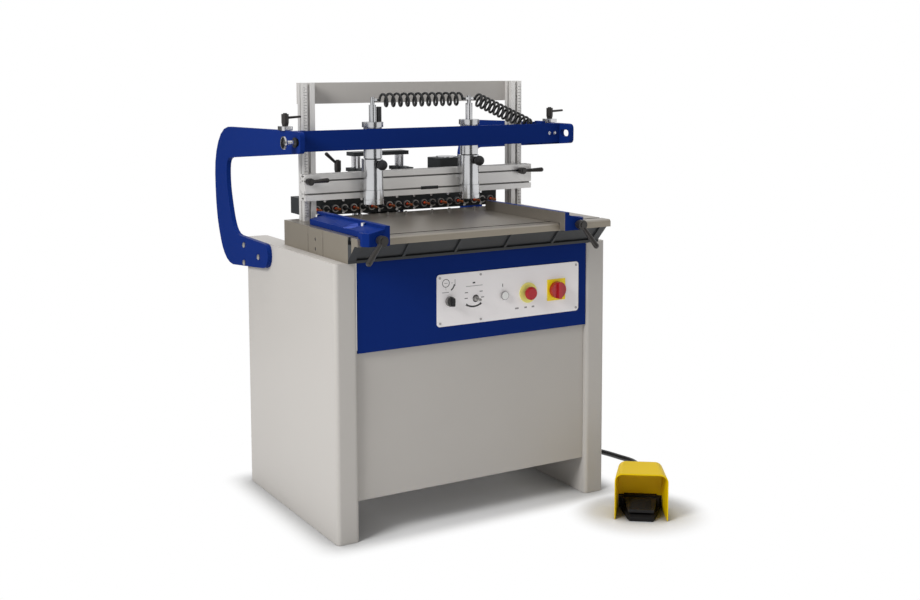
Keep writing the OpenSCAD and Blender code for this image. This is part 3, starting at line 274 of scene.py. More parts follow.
class Shader(Nodes):
    """One node material."""

    def __init__(self, name: str) -> None:
        """Makes an empty material with its output, principled shader and coordinates.

        Args:
            name: Name of the material.
        """
        self.material = bpy.data.materials.new(name)
        self.material.use_nodes = True
        super().__init__(self.material.node_tree)
        self.tree.nodes.clear()
        self.output = self.tree.nodes.new("ShaderNodeOutputMaterial")
        self.surface = self.node("ShaderNodeBsdfPrincipled", {}, {})
        self.feed(self.output.inputs["Surface"], self.surface)
        self.coordinates = self.node("ShaderNodeTexCoord", {}, {}, "Object")

    def place(self, origin: Vector = MACHINE, turn: float = 0.0) -> Place:
        """Object coordinates from an origin.

        Args:
            origin: Point that becomes zero.
            turn: Turn of the axes about Z in radians.

        Returns:
            The three coordinates.
        """
        mapped = self.node("ShaderNodeMapping", {"vector_type": "TEXTURE"}, {
            "Vector": self.coordinates, "Location": tuple(origin), "Rotation": (0.0, 0.0, turn)})
        split = self.node("ShaderNodeSeparateXYZ", {}, {0: mapped}).socket.node
        return Place(*(Wire(self, socket) for socket in split.outputs))

    def noise(self, scale: float, detail: float = 3.0, stretch: Triple = (1.0, 1.0, 1.0)) -> Wire:
        """Noise from 0 to 1.

        Args:
            scale: Waves a metre.
            detail: Octaves.
            stretch: Further scale on X, Y and Z.

        Returns:
            The noise value.
        """
        vector = self.node("ShaderNodeMapping", {}, {"Vector": self.coordinates, "Scale": stretch})
        return self.node("ShaderNodeTexNoise", {}, {"Vector": vector, "Scale": scale, "Detail": detail})

    def blend(self, share: Any, first: Any, second: Any) -> Wire:
        """Mixes two colours, by the share of the second."""
        return self.node("ShaderNodeMix", {"data_type": "RGBA"}, {0: share, 6: first, 7: second}, 2)

    def relief(self, height: Wire, depth: float, edge: float) -> Wire:
        """Bump, on rounded edges where a radius is given.

        Args:
            height: Height from 0 to 1.
            depth: Depth in metres of a height of 1.
            edge: Radius of rounded edges, or 0.

        Returns:
            The normal.
        """
        sockets: dict[Any, Any] = {"Height": height, "Distance": depth, "Strength": 1.0}
        if edge:
            sockets["Normal"] = self.node("ShaderNodeBevel", {"samples": 4}, {"Radius": edge})
        return self.node("ShaderNodeBump", {}, sockets)

    def done(self, **sockets: Any) -> bpy.types.Material:
        """Feeds the principled shader.

        Args:
            **sockets: Values or wires by the socket's name with underscores.

        Returns:
            The finished material.
        """
        for key, value in sockets.items():
            self.feed(self.surface.socket.node.inputs[key.replace("_", " ")], value)
        return self.material


Region = Callable[[Place], Wire]


@dataclass(frozen=True)
class Coat:
    """One finish of a surface: its colour and how it reflects and wears."""

    color: Color
    rough: float = 0.5
    metal: float = 0.0
    vary: float = 0.06
    grain: Triple = (90.0, 90.0, 90.0)
    depth: float = 0.00004
    clear: float = 0.0
    shine: float = 0.5


class Finishes(Enum):
    """Finishes of this machine."""

    GREY = Coat(srgb(188, 184, 179), 0.42, 0.0, 0.035, (420, 420, 420), 0.00003, 0.0, 0.4)
    BLUE = Coat(srgb(16, 42, 111), 0.36, 0.0, 0.08, (420, 420, 420), 0.00003, 0.0, 0.03)
    YELLOW = Coat(srgb(236, 200, 6), 0.38, 0.0, 0.06, (300, 300, 300), 0.00003, 0.0, 0.10)
    # Painted highlight: a lighter blue that stands for the sheen of the paint in the fences' dishes
    PAINTED_SHEEN = Coat(srgb(70, 88, 162), 0.30, 0.0, 0.06, (420, 420, 420), 0.00003)
    SIGNAL = Coat(srgb(255, 226, 20), 0.38, 0.0, 0.04, (300, 300, 300), 0.00002, 0.0, 0.3)
    CHARCOAL = Coat(srgb(48, 50, 52), 0.55, 0.0, 0.16, (260, 260, 260), 0.00010, 0.0, 0.12)
    HEAD = Coat(srgb(50, 52, 53), 0.46, 0.0, 0.14, (300, 300, 300), 0.00006, 0.0, 0.2)
    STEEL = Coat(srgb(166, 159, 149), 0.33, 0.8, 0.10, (14, 420, 260), 0.00001)
    CHEEK = Coat(srgb(150, 142, 129), 0.42, 0.60, 0.10, (240, 20, 420), 0.00002)
    PROFILE = Coat(srgb(230, 228, 225), 0.34, 0.40, 0.03, (8, 300, 300), 0.00001)
    UPRIGHT = Coat(srgb(230, 228, 225), 0.34, 0.40, 0.03, (300, 300, 8), 0.00001)
    TURNED = Coat(srgb(206, 207, 209), 0.17, 1.0, 0.04, (30, 30, 900), 0.000004)
    BOLT = Coat(srgb(160, 158, 156), 0.30, 0.9, 0.05, (120, 120, 120), 0.000005)
    # Painted shade: a darker grey for the inside of the beam's slots
    SLOT = Coat(srgb(172, 170, 167), 0.55, 0.2, 0.06, (8, 300, 300), 0.00001)
    # Painted shade: near-black for hollows such as the toggle's cup, the knob's sunk ring and the fan
    # grille's grooves
    SHADE = Coat(srgb(14, 14, 15), 0.8, 0.0, 0.1, (300, 300, 300), 0.00002)
    CHROME = Coat(srgb(222, 222, 224), 0.12, 1.0, 0.03, (120, 120, 120), 0.000005)
    PLATE = Coat(srgb(246, 242, 242), 0.40, 0.0, 0.02, (300, 40, 300), 0.00001, 0.0, 0.4)
    PLASTIC = Coat(srgb(32, 32, 33), 0.46, 0.0, 0.18, (700, 700, 700), 0.00006, 0.0, 0.35)
    LEVER = Coat(srgb(46, 43, 41), 0.28, 0.3, 0.16, (300, 300, 300), 0.00004, 0.1, 0.6)
    RUBBER = Coat(srgb(34, 33, 33), 0.62, 0.0, 0.20, (500, 500, 500), 0.00010, 0.0, 0.35)
    HOSE = Coat(srgb(24, 24, 25), 0.34, 0.0, 0.12, (200, 200, 200), 0.00002, 0.2)
    RED = Coat(srgb(176, 26, 36), 0.30, 0.0, 0.06, (200, 200, 200), 0.00002, 0.2)
    LEMON = Coat(srgb(246, 238, 130), 0.40, 0.0, 0.04, (200, 200, 200), 0.00002)
    ORANGE = Coat(srgb(200, 62, 30), 0.40, 0.0, 0.10, (400, 400, 400), 0.00003, 0.0, 0.3)
    BRONZE = Coat(srgb(150, 84, 50), 0.34, 0.4, 0.10, (400, 400, 400), 0.00003)
    CARD = Coat(srgb(96, 96, 96), 0.9)
    WHITE = Coat(srgb(232, 232, 230), 0.35, 0.0, 0.02, (300, 300, 300), 0.00002)
    INK = Coat(srgb(40, 40, 42), 0.6, 0.0, 0.05, (300, 300, 300), 0.00001)
    PALE_INK = Coat(srgb(150, 147, 147), 0.6, 0.0, 0.05, (300, 300, 300), 0.00001)
    LABEL = Coat(srgb(30, 31, 33), 0.5, 0.0, 0.05, (300, 300, 300), 0.00001)

    def material(self, edge: float = 0.0) -> bpy.types.Material:
        """Material of this finish alone, made once for each radius of rounded edges."""
        name = f"{self.name.lower()}_{round(edge * 10000)}"
        return bpy.data.materials.get(name) or zoned(name, self, (), edge)


def zoned(name: str, ground: Finishes, zones: Sequence[tuple[Region, Finishes]], edge: float = 0.0,
          origin: Vector = MACHINE, turn: float = 0.0) -> bpy.types.Material:
    """Material with a ground finish and other finishes in regions of space.

    Args:
        name: Name of the material.
        ground: Finish outside every region. Its shine and grain hold everywhere.
        zones: Regions with their finishes. Later ones lie over earlier ones.
        edge: Radius of rounded edges, or 0.
        origin: Origin of the coordinates that the regions read.
        turn: Turn of those coordinates about Z.

    Returns:
        The material.
    """
    shader = Shader(name)
    coat: Coat = ground.value
    grain = shader.noise(1.0, detail=2.0, stretch=coat.grain)
    cloud = shader.noise(CLOUD_SCALE, detail=4.0)
    color = tone(shader, coat, cloud, grain)
    rough = cloud.spread(coat.rough - ROUGH_SPREAD, coat.rough + ROUGH_SPREAD)
    metal: Any = coat.metal
    clear: Any = coat.clear
    if zones:
        place = shader.place(origin, turn)
        for region, finish in zones:
            other: Coat = finish.value
            mask = region(place)
            color = shader.blend(mask, color, tone(shader, other, cloud, grain))
            rough = rough + mask * (other.rough - rough)
            metal = mask * (other.metal - metal) + metal
            clear = mask * (other.clear - clear) + clear
    return shader.done(Base_Color=color, Roughness=rough, Metallic=metal, Coat_Weight=clear,
                       Specular_IOR_Level=coat.shine, Normal=shader.relief(grain, coat.depth, edge))


def tone(shader: Shader, coat: Coat, cloud: Wire, grain: Wire) -> Wire:
    """Colour of a coat with its slow and fine variation.

    Args:
        shader: Shader that gets the nodes.
        coat: Finish.
        cloud: Slow noise.
        grain: Fine noise.

    Returns:
        The colour.
    """
    dark = tuple(c * (1 - coat.vary) for c in coat.color)
    light = tuple(min(1.0, c * (1 + coat.vary)) for c in coat.color)
    return shader.blend(cloud * CLOUD_SHARE + grain * (1 - CLOUD_SHARE), dark, light)


class Bench:
    """Makes new pieces with Blender's own tools and leaves them at the origin, unturned."""

    @staticmethod
    def clear() -> None:
        """Leaves edit mode and deselects everything."""
        if bpy.context.object and bpy.context.object.mode != "OBJECT":
            bpy.ops.object.mode_set(mode="OBJECT")
        bpy.ops.object.select_all(action="DESELECT")

    @staticmethod
    def settle(name: str) -> bpy.types.Object:
        """Names the active object and puts its place into its mesh.

        Args:
            name: Its name.

        Returns:
            The object.
        """
        piece = bpy.context.object
        piece.name = name
        piece.data.name = name
        bpy.ops.object.transform_apply(location=True, rotation=True, scale=True)
        return piece

    @staticmethod
    def soften(piece: bpy.types.Object, width: float) -> None:
        """Bevels a piece's sharp edges and smooths its faces.

        Args:
            piece: Piece to change.
            width: Width of the bevel.
        """
        bpy.context.view_layer.objects.active = piece
        bevel = piece.modifiers.new("bevel", "BEVEL")
        bevel.width = width
        bevel.segments = BEVEL_SEGMENTS
        bevel.limit_method = "ANGLE"
        bevel.angle_limit = BEVEL_ANGLE
        bpy.ops.object.modifier_apply(modifier=bevel.name)
        piece.select_set(True)
        bpy.ops.object.shade_smooth_by_angle(angle=SMOOTH_ANGLE)

    def box(self, name: str, center: Vector, size: Sequence[float], bevel: float = 0.0,
            turn: float = 0.0) -> bpy.types.Object:
        """Box, with rounded edges where a bevel is given.

        Args:
            name: Name of the piece.
            center: Its middle.
            size: Its size along X, Y and Z.
            bevel: Rounding of its edges, or 0.
            turn: Turn about Y in radians.

        Returns:
            The piece.
        """
        self.clear()
        bpy.ops.mesh.primitive_cube_add(size=1, location=center, rotation=(0, turn, 0))
        bpy.context.object.scale = size
        piece = self.settle(name)
        if bevel:
            self.soften(piece, bevel)
        return piece

    def rod(self, name: str, start: Vector, way: Vector, radius: float, length: float, bevel: float = 0.0,
            tip: float | None = None, sides: int = 32) -> bpy.types.Object:
        """Round bar or cone.

        Args:
            name: Name of the piece.
            start: Centre of its first end.
            way: Direction of its axis.
            radius: Radius at the first end.
            length: Length.
            bevel: Rounding of the rims, or 0.
            tip: Radius at the far end, or None for the same.
            sides: Sides of the circle.

        Returns:
            The piece.
        """
        self.clear()
        bpy.ops.mesh.primitive_cone_add(
            vertices=sides, radius1=radius, radius2=radius if tip is None else tip, depth=length,
            location=start + way.normalized() * length / 2, rotation=way.to_track_quat("Z", "Y").to_euler())
        piece = self.settle(name)
        if bevel:
            self.soften(piece, bevel)
        else:
            bpy.ops.object.shade_smooth_by_angle(angle=SMOOTH_ANGLE)
        return piece

    @staticmethod
    def inset_top(piece: bpy.types.Object, steps: Sequence[Pair]) -> None:
        """Insets a piece's highest face again and again.

        Args:
            piece: Piece to change.
            steps: Width and height of each inset.
        """
        bpy.ops.object.mode_set(mode="EDIT")
        bpy.ops.mesh.select_all(action="DESELECT")
        bpy.ops.object.mode_set(mode="OBJECT")
        top = max(piece.data.polygons, key=lambda f: f.center.z + f.normal.z)
        top.select = True
        bpy.ops.object.mode_set(mode="EDIT")
        bpy.ops.mesh.select_mode(type="FACE")
        for thickness, depth in steps:
            bpy.ops.mesh.inset(thickness=thickness, depth=depth)
        bpy.ops.object.mode_set(mode="OBJECT")

    def screw(self, radius: float, height: float) -> bpy.types.Object:
        """Round screw head with a socket, standing on the origin along +Z.

        Args:
            radius: Radius of the head.
            height: Height of the head.

        Returns:
            The model of the screw.
        """
        sunk, socket = height * 0.1, height * 0.6
        rim, draft, rounding = radius * 0.45, radius * 0.02, radius * 0.12
        piece = self.rod("screw", Vector((0, 0, -sunk)), Axis.UP.value, radius, height + sunk, sides=24)
        self.inset_top(piece, ((rim, 0), (draft, -socket)))
        self.soften(piece, rounding)
        return piece

    def tube(self, name: str, path: Sequence[Vector], radius: float, resolution: int) -> bpy.types.Object:
        """Round tube along a path.

        Args:
            name: Name of the piece.
            path: Points of its centre line.
            radius: Its radius.
            resolution: Bevel resolution of the curve.

        Returns:
            The piece, as a mesh.
        """
        self.clear()
        curve = bpy.data.curves.new(name, "CURVE")
        curve.dimensions = "3D"
        curve.bevel_depth = radius
        curve.bevel_resolution = resolution
        curve.use_fill_caps = True
        spline = curve.splines.new("POLY")
        spline.points.add(len(path) - 1)
        for point, where in zip(spline.points, path):
            point.co = (*where, 1.0)
        piece = bpy.data.objects.new(name, curve)
        bpy.context.collection.objects.link(piece)
        bpy.context.view_layer.objects.active = piece
        piece.select_set(True)
        bpy.ops.object.convert(target="MESH")
        bpy.ops.object.shade_smooth_by_angle(angle=SMOOTH_ANGLE)
        return self.settle(name)

    def copies(self, name: str, model: bpy.types.Object, moves: Sequence[Matrix]) -> bpy.types.Object:
        """Copies a model to several places, each copy with its own mesh, and joins the copies.

        Args:
            name: Name of the whole.
            model: What is copied. It is deleted afterwards.
            moves: Where each copy goes.

        Returns:
            The whole.
        """
        made = []
        for move in moves:
            self.clear()
            model.select_set(True)
            bpy.context.view_layer.objects.active = model
            bpy.ops.object.duplicate(linked=False)
            bpy.context.object.matrix_world = move
            made.append(self.settle(f"{name}_{len(made)}"))
        bpy.data.objects.remove(model)
        return self.join(name, made)

    def join(self, name: str, pieces: Sequence[bpy.types.Object]) -> bpy.types.Object:
        """Joins pieces into one object.

        Args:
            name: Name of the whole.
            pieces: What it is made of.

        Returns:
            The whole.
        """
        self.clear()
        for piece in pieces:
            piece.select_set(True)
        bpy.context.view_layer.objects.active = pieces[0]
        if len(pieces) > 1:
            bpy.ops.object.join()
        return self.settle(name)


BENCH = Bench()


def seated(seat: Vector, way: Vector) -> Matrix:
    """Move of a model that stands on the origin along +Z to a seat and a direction."""
    return Matrix.Translation(seat) @ way.to_track_quat("Z", "Y").to_matrix().to_4x4()


def dress(piece: bpy.types.Object, finish: bpy.types.Material) -> None:
    """Gives a piece one material."""
    piece.data.materials.clear()
    piece.data.materials.append(finish)


def fix(piece: bpy.types.Object, body: str, finish: bpy.types.Material) -> None:
    """Dresses a new piece and lets it ride on a body.

    Args:
        piece: New piece.
        body: Body that carries it.
        finish: Its material.
    """
    dress(piece, finish)
    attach(piece, body)
    LOG.info("piece %s on %s", piece.name, body)


@dataclass
class Assembly:
    """Sub-assembly of CAD nodes, which get their finishes here."""

    nodes: dict[str, bpy.types.Object]

    def paint(self, finish: Finishes, edge: float, *names: str) -> None:
        """Gives nodes one finish all over.

        Args:
            finish: The finish.
            edge: Radius of rounded edges, or 0.
            *names: Names of the nodes.
        """
        for name in names:
            dress(self.nodes[name], finish.material(edge))

    def paint_zones(self, name: str, ground: Finishes, edge: float,
                    *zones: tuple[Region, Finishes]) -> None:
        """Gives a node a ground finish and other finishes in regions.

        Args:
            name: Name of the node.
            ground: Finish outside every region.
            edge: Radius of rounded edges, or 0.
            *zones: Regions with their finishes. Later ones lie over earlier ones.
        """
        dress(self.nodes[name], zoned(f"{name}_coats", ground, zones, edge))


@dataclass
class Stand(Assembly):
    """Pillars, panels, control plate and the small fixed parts."""

    fascia_z: float = 0.5478  # where the grey panel ends and the blue fascia begins
    plate_face: float = 0.003
    plate_zone: float = 0.02  # fittings in front of this are on the control plate
    switch_z: float = 0.670
    collar_reach: float = 0.034
    collar_split: float = 0.222  # the round collar lies left of this and the square one right
    gland_zone: float = 0.2  # fittings below this are the cable's gland
    button_share: float = 0.88
    selector_base: float = 0.0096
    stop_stem: float = 0.0138
    sheet_rear: float = 0.008
    cup_rear: float = 0.0155
    cup_radius: float = 0.0140
    cup_wall: float = 0.0025
    cup_draft: float = 0.0002
    cup_deep: float = 0.0050
    cup_round: float = 0.0003

    def collars(self, p: Place) -> Wire:
        """Region of the yellow collars under the two red switches."""
        return (p.y < self.plate_zone) & (abs(p.z - self.switch_z) < self.collar_reach)

    def dress(self) -> None:
        """Gives the stand's nodes their finishes."""
        self.paint(Finishes.GREY, SHEET_EDGE, "pillars")
        self.paint(Finishes.PLATE, 0.0, "control_plate")
        self.paint(Finishes.BOLT, FINE_EDGE, "toggle")
        self.paint(Finishes.RED, FINE_EDGE, "main_switch")
        self.paint_zones("front_panels", Finishes.BLUE, SHEET_EDGE,
                         (lambda p: p.z < self.fascia_z, Finishes.GREY))
        self.paint_zones("fittings", Finishes.BOLT, 0.0,
                         (self.collars, Finishes.SIGNAL),
                         (lambda p: self.collars(p) & (p.x < self.collar_split), Finishes.LEMON),
                         (lambda p: p.z < self.gland_zone, Finishes.PLASTIC))
        low, high = corners("start_button")
        axis, ring = (low + high) / 2, (high.x - low.x) / 2 * self.button_share
        self.paint_zones("start_button", Finishes.WHITE, FINE_EDGE,
                         (lambda p: reach(p.x - axis.x, p.z - axis.z) > ring, Finishes.PALE_INK))
        self.paint_zones("selector_knob", Finishes.PLASTIC, FINE_EDGE,
                         (lambda p: p.y > self.plate_face - self.selector_base, Finishes.BOLT))
        self.paint_zones("emergency_stop", Finishes.PLASTIC, PART_EDGE,
                         (lambda p: p.y < self.plate_face - self.stop_stem, Finishes.RED))

    def build(self) -> None:
        """Adds the marks on the control plate and the cup behind the toggle, whose near-black finish is
        painted shade inside the toggle's hole.
        """
        ControlMarks(self.plate_face).build()
        low, high = corners("toggle")
        seat = at((low.x + high.x) / 2, self.cup_rear, (low.z + high.z) / 2)
        cup = BENCH.rod("cup", ORIGIN, Axis.UP.value, self.cup_radius, self.cup_rear - self.sheet_rear)
        BENCH.inset_top(cup, ((self.cup_wall, 0.0), (self.cup_draft, -self.cup_deep)))
        BENCH.soften(cup, self.cup_round)
        whole = BENCH.copies("toggle_shade_cup", cup, [seated(seat, Axis.FRONT.value)])
        # Painted shade: the near-black cup fills the toggle's hole where only shade would show
        fix(whole, "stand", Finishes.SHADE.material())


@dataclass(frozen=True)
class Stroke:
    """One printed bar: its middle on the plate, its width, its height and its turn in the plate's plane."""

    x: float
    z: float
    wide: float
    tall: float
    turn: float = 0.0


@dataclass(frozen=True)
class Arc:
    """One printed arc of short bars. Its span is in degrees, clockwise from the top."""

    x: float
    z: float
    ring: float
    span: Pair
    line: float
    bars: int
    overlap: float = 1.15

    def bar(self, turn: float, wide: float, tall: float, lean: float = 0.0) -> Stroke:
        """Bar on the arc at an angle in radians, leaning from the arc's own line."""
        return Stroke(self.x + self.ring * math.sin(turn), self.z + self.ring * math.cos(turn), wide, tall,
                      turn + lean)

    def strokes(self) -> list[Stroke]:
        """Works out the bars from the span's first angle to its last.

        Returns:
            The bars.
        """
        first, last = (math.radians(v) for v in self.span)
        step = (last - first) / self.bars
        wide = self.ring * abs(step) * self.overlap
        return [self.bar(first + step * (i + 0.5), wide, self.line) for i in range(self.bars)]


@dataclass
class ControlMarks:
    """Plain marks on the control plate: rings, arcs and strokes."""

    face: float
    thin: float = 0.0003
    rounding: float = 0.3
    dial: Arc = Arc(-0.1095, 0.7245, 0.0115, (0, 360), 0.0018, 28)
    dial_arc: Arc = Arc(-0.1040, 0.7230, 0.0235, (100, 150), 0.0040, 6)
    sweep: Arc = Arc(-0.0145, 0.6935, 0.0470, (154, 206), 0.0048, 16)
    head_angles: Pair = (150, 210)
    head_size: Pair = (0.0030, 0.0085)
    head_leans: Pair = (math.pi / 2 + 0.75, math.pi / 2 - 0.75)
    dark: tuple[Stroke, ...] = (
        Stroke(-0.1095, 0.7245, 0.011, 0.0010), Stroke(-0.0785, 0.7240, 0.0012, 0.020),
        Stroke(-0.1110, 0.6970, 0.023, 0.0012), Stroke(-0.0135, 0.7180, 0.0085, 0.0045),
        Stroke(-0.0395, 0.690, 0.0105, 0.0022), Stroke(0.0115, 0.690, 0.0105, 0.0022),
        Stroke(-0.0405, 0.673, 0.0105, 0.0022), Stroke(0.0165, 0.672, 0.0105, 0.0022),
        Stroke(0.0875, 0.7010, 0.0022, 0.009))
    pale: tuple[Stroke, ...] = (
        Stroke(-0.0890, 0.7240, 0.007, 0.0010), Stroke(-0.1095, 0.7070, 0.0010, 0.007),
        Stroke(-0.0120, 0.7085, 0.058, 0.0016), Stroke(0.1385, 0.6250, 0.013, 0.0050),
        Stroke(0.1705, 0.6250, 0.009, 0.0050), Stroke(0.1975, 0.6250, 0.009, 0.0050))

    def lay(self, name: str, strokes: Sequence[Stroke], ink: Finishes) -> None:
        """Lays strokes on the plate as one piece.

        Args:
            name: Name of the piece.
            strokes: What it is made of.
            ink: Its finish.
        """
        bars = [BENCH.box(f"{name}_{i}", at(s.x, self.face - self.thin / 2, s.z),
                          (s.wide, self.thin, s.tall), self.thin * self.rounding, s.turn)
                for i, s in enumerate(strokes)]
        fix(BENCH.join(name, bars), "stand", ink.material())

    def build(self) -> None:
        """Makes all marks as two pieces on the stand."""
        curved = [stroke for arc in (self.dial, self.dial_arc, self.sweep) for stroke in arc.strokes()]
        heads = [self.sweep.bar(math.radians(angle), *self.head_size, lean)
                 for angle in self.head_angles for lean in self.head_leans]
        self.lay("control_marks", [*curved, *heads, *self.dark], Finishes.INK)
        self.lay("control_marks_pale", self.pale, Finishes.PALE_INK)


@dataclass
class Table(Assembly):
    """Cast table."""

    lip: float = 0.0221
    end: float = 0.4323
    lip_front: float = -0.0735
    slot_y: float = -0.024
    slot_half: float = 0.0112
    slot_below: float = 0.0005

    def dress(self) -> None:
        """Gives the table its finishes."""
        self.paint_zones(
            "table", Finishes.STEEL, SHEET_EDGE,
            (lambda p: (abs(p.x) > self.end) | (p.y < self.lip_front), Finishes.CHEEK),
            (lambda p: (p.z < TABLE_TOP - self.lip) & (abs(p.x) < self.end), Finishes.CHARCOAL),
            (lambda p: (p.z < TABLE_TOP - self.slot_below) & (abs(p.y - self.slot_y) < self.slot_half),
             Finishes.CHARCOAL))


@dataclass
class Fence(Assembly):
    """Side fence with a sloped shelf, two screws and its clamp lever.

    Its shelf reaches outwards from its inner face, to +X where way is 1 and to -X where way is -1.
    Distances across the shelf count from that face.
    """

    side: str
    inner: float
    way: int
    face_skin: float = 0.0002
    shelf_top: float = 0.9033
    shelf: Pair = (0.0155, 0.0635)  # from the wall's foot to the outer edge
    shelf_run: Pair = (-0.1025, 0.2935)  # front and rear end
    slope_rise: float = 0.0100
    slope_sink: float = 0.0003
    slope_round: float = 0.0006
    dish_in: float = 0.0418
    dish_y: float = 0.052
    dish_radius: float = 0.0255
    dish_flare: float = 0.0034
    dish_sink: float = 0.002
    dish_tall: float = 0.016
    # How far the painted highlight in the dish reaches past the shelf, and how far it stays over the table
    painted_sheen_margins: Pair = (0.0015, 0.0010)  # past the foot and past the edge
    painted_sheen_lift: float = 0.002
    screw_in: float = 0.024
    screw_size: Pair = (0.0065, 0.009)
    screw_seats: tuple[Pair, ...] = ((0.016, 0.0070), (0.330, 0.0))  # along the fence, over the shelf

    def out(self, distance: float) -> float:
        """Place on X at a distance outwards from the inner face."""
        return self.inner + self.way * distance

    def painted_sheen_region(self, p: Place) -> Wire:
        """Region inside the dish, below the shelf's top and the slope on it, where a lighter blue is
        painted as a highlight.

        Args:
            p: Coordinates.

        Returns:
            1 inside the region.
        """
        foot, edge = self.shelf
        across = (p.x - self.inner) * self.way
        rise = (edge - across) * (self.slope_rise / (edge - foot)) | 0.0
        near = reach(p.x - self.out(self.dish_in), p.y - self.dish_y) < self.dish_radius + self.dish_flare
        level = p.z.between(TABLE_TOP + self.painted_sheen_lift, rise + self.shelf_top - self.slope_round)
        return near & level & across.between(foot + self.painted_sheen_margins[0], edge + self.painted_sheen_margins[1])

    def dress(self) -> None:
        """Gives fence and lever their finishes, with a painted highlight in the fence's dish."""
        self.paint_zones(f"fence_{self.side}", Finishes.BLUE, FENCE_EDGE,
                         (self.painted_sheen_region, Finishes.PAINTED_SHEEN),
                         (lambda p: (p.x - self.inner) * self.way < self.face_skin, Finishes.STEEL))
        self.paint(Finishes.LEVER, PART_EDGE, f"fence_lever_{self.side}")

    def build(self) -> None:
        """Adds the sloped top of the shelf, with the same painted highlight in its dish, and the screws on
        it.
        """
        body = f"fence_{self.side}"
        painted_sheen = [(self.painted_sheen_region, Finishes.PAINTED_SHEEN)]
        coats = zoned(f"fence_slope_{self.side}_coats", Finishes.BLUE, painted_sheen, FINE_EDGE)
        fix(self.slope(), body, coats)
        seats = [seated(at(self.out(self.screw_in), y, self.shelf_top + rise), Axis.UP.value)
                 for y, rise in self.screw_seats]
        heads = BENCH.copies(f"fence_screws_{self.side}", BENCH.screw(*self.screw_size), seats)
        fix(heads, body, Finishes.CHROME.material())

    def slope(self) -> bpy.types.Object:
        """Makes a wedge on the shelf that rises to the fence's wall, with a scooped dish.

        Returns:
            The wedge.
        """
        foot, edge = self.shelf
        near, far = self.shelf_run
        middle = at(self.out((foot + edge) / 2), (near + far) / 2, self.shelf_top + self.slope_rise / 2)
        wedge = BENCH.box(f"fence_slope_{self.side}", middle,
                          (edge - foot, far - near, self.slope_rise + 2 * self.slope_sink))
        bpy.ops.object.mode_set(mode="EDIT")
        bpy.ops.mesh.select_all(action="SELECT")
        bpy.ops.mesh.bisect(plane_co=at(self.out(edge), 0, self.shelf_top + self.slope_sink),
                            plane_no=(self.way * self.slope_rise, 0, edge - foot),
                            use_fill=True, clear_outer=True)
        bpy.ops.object.mode_set(mode="OBJECT")
        seat = at(self.out(self.dish_in), self.dish_y, self.shelf_top - self.dish_sink)
        dish = BENCH.rod("dish", seat, Axis.UP.value, self.dish_radius, self.dish_tall,
                         tip=self.dish_radius + self.dish_flare, sides=FINE_SIDES)
        bpy.context.view_layer.objects.active = wedge
        cut = wedge.modifiers.new("dish", "BOOLEAN")
        cut.operation = "DIFFERENCE"
        cut.object = dish
        bpy.ops.object.modifier_apply(modifier=cut.name)
        bpy.data.objects.remove(dish)
        BENCH.clear()
        BENCH.soften(wedge, self.slope_round)
        return wedge


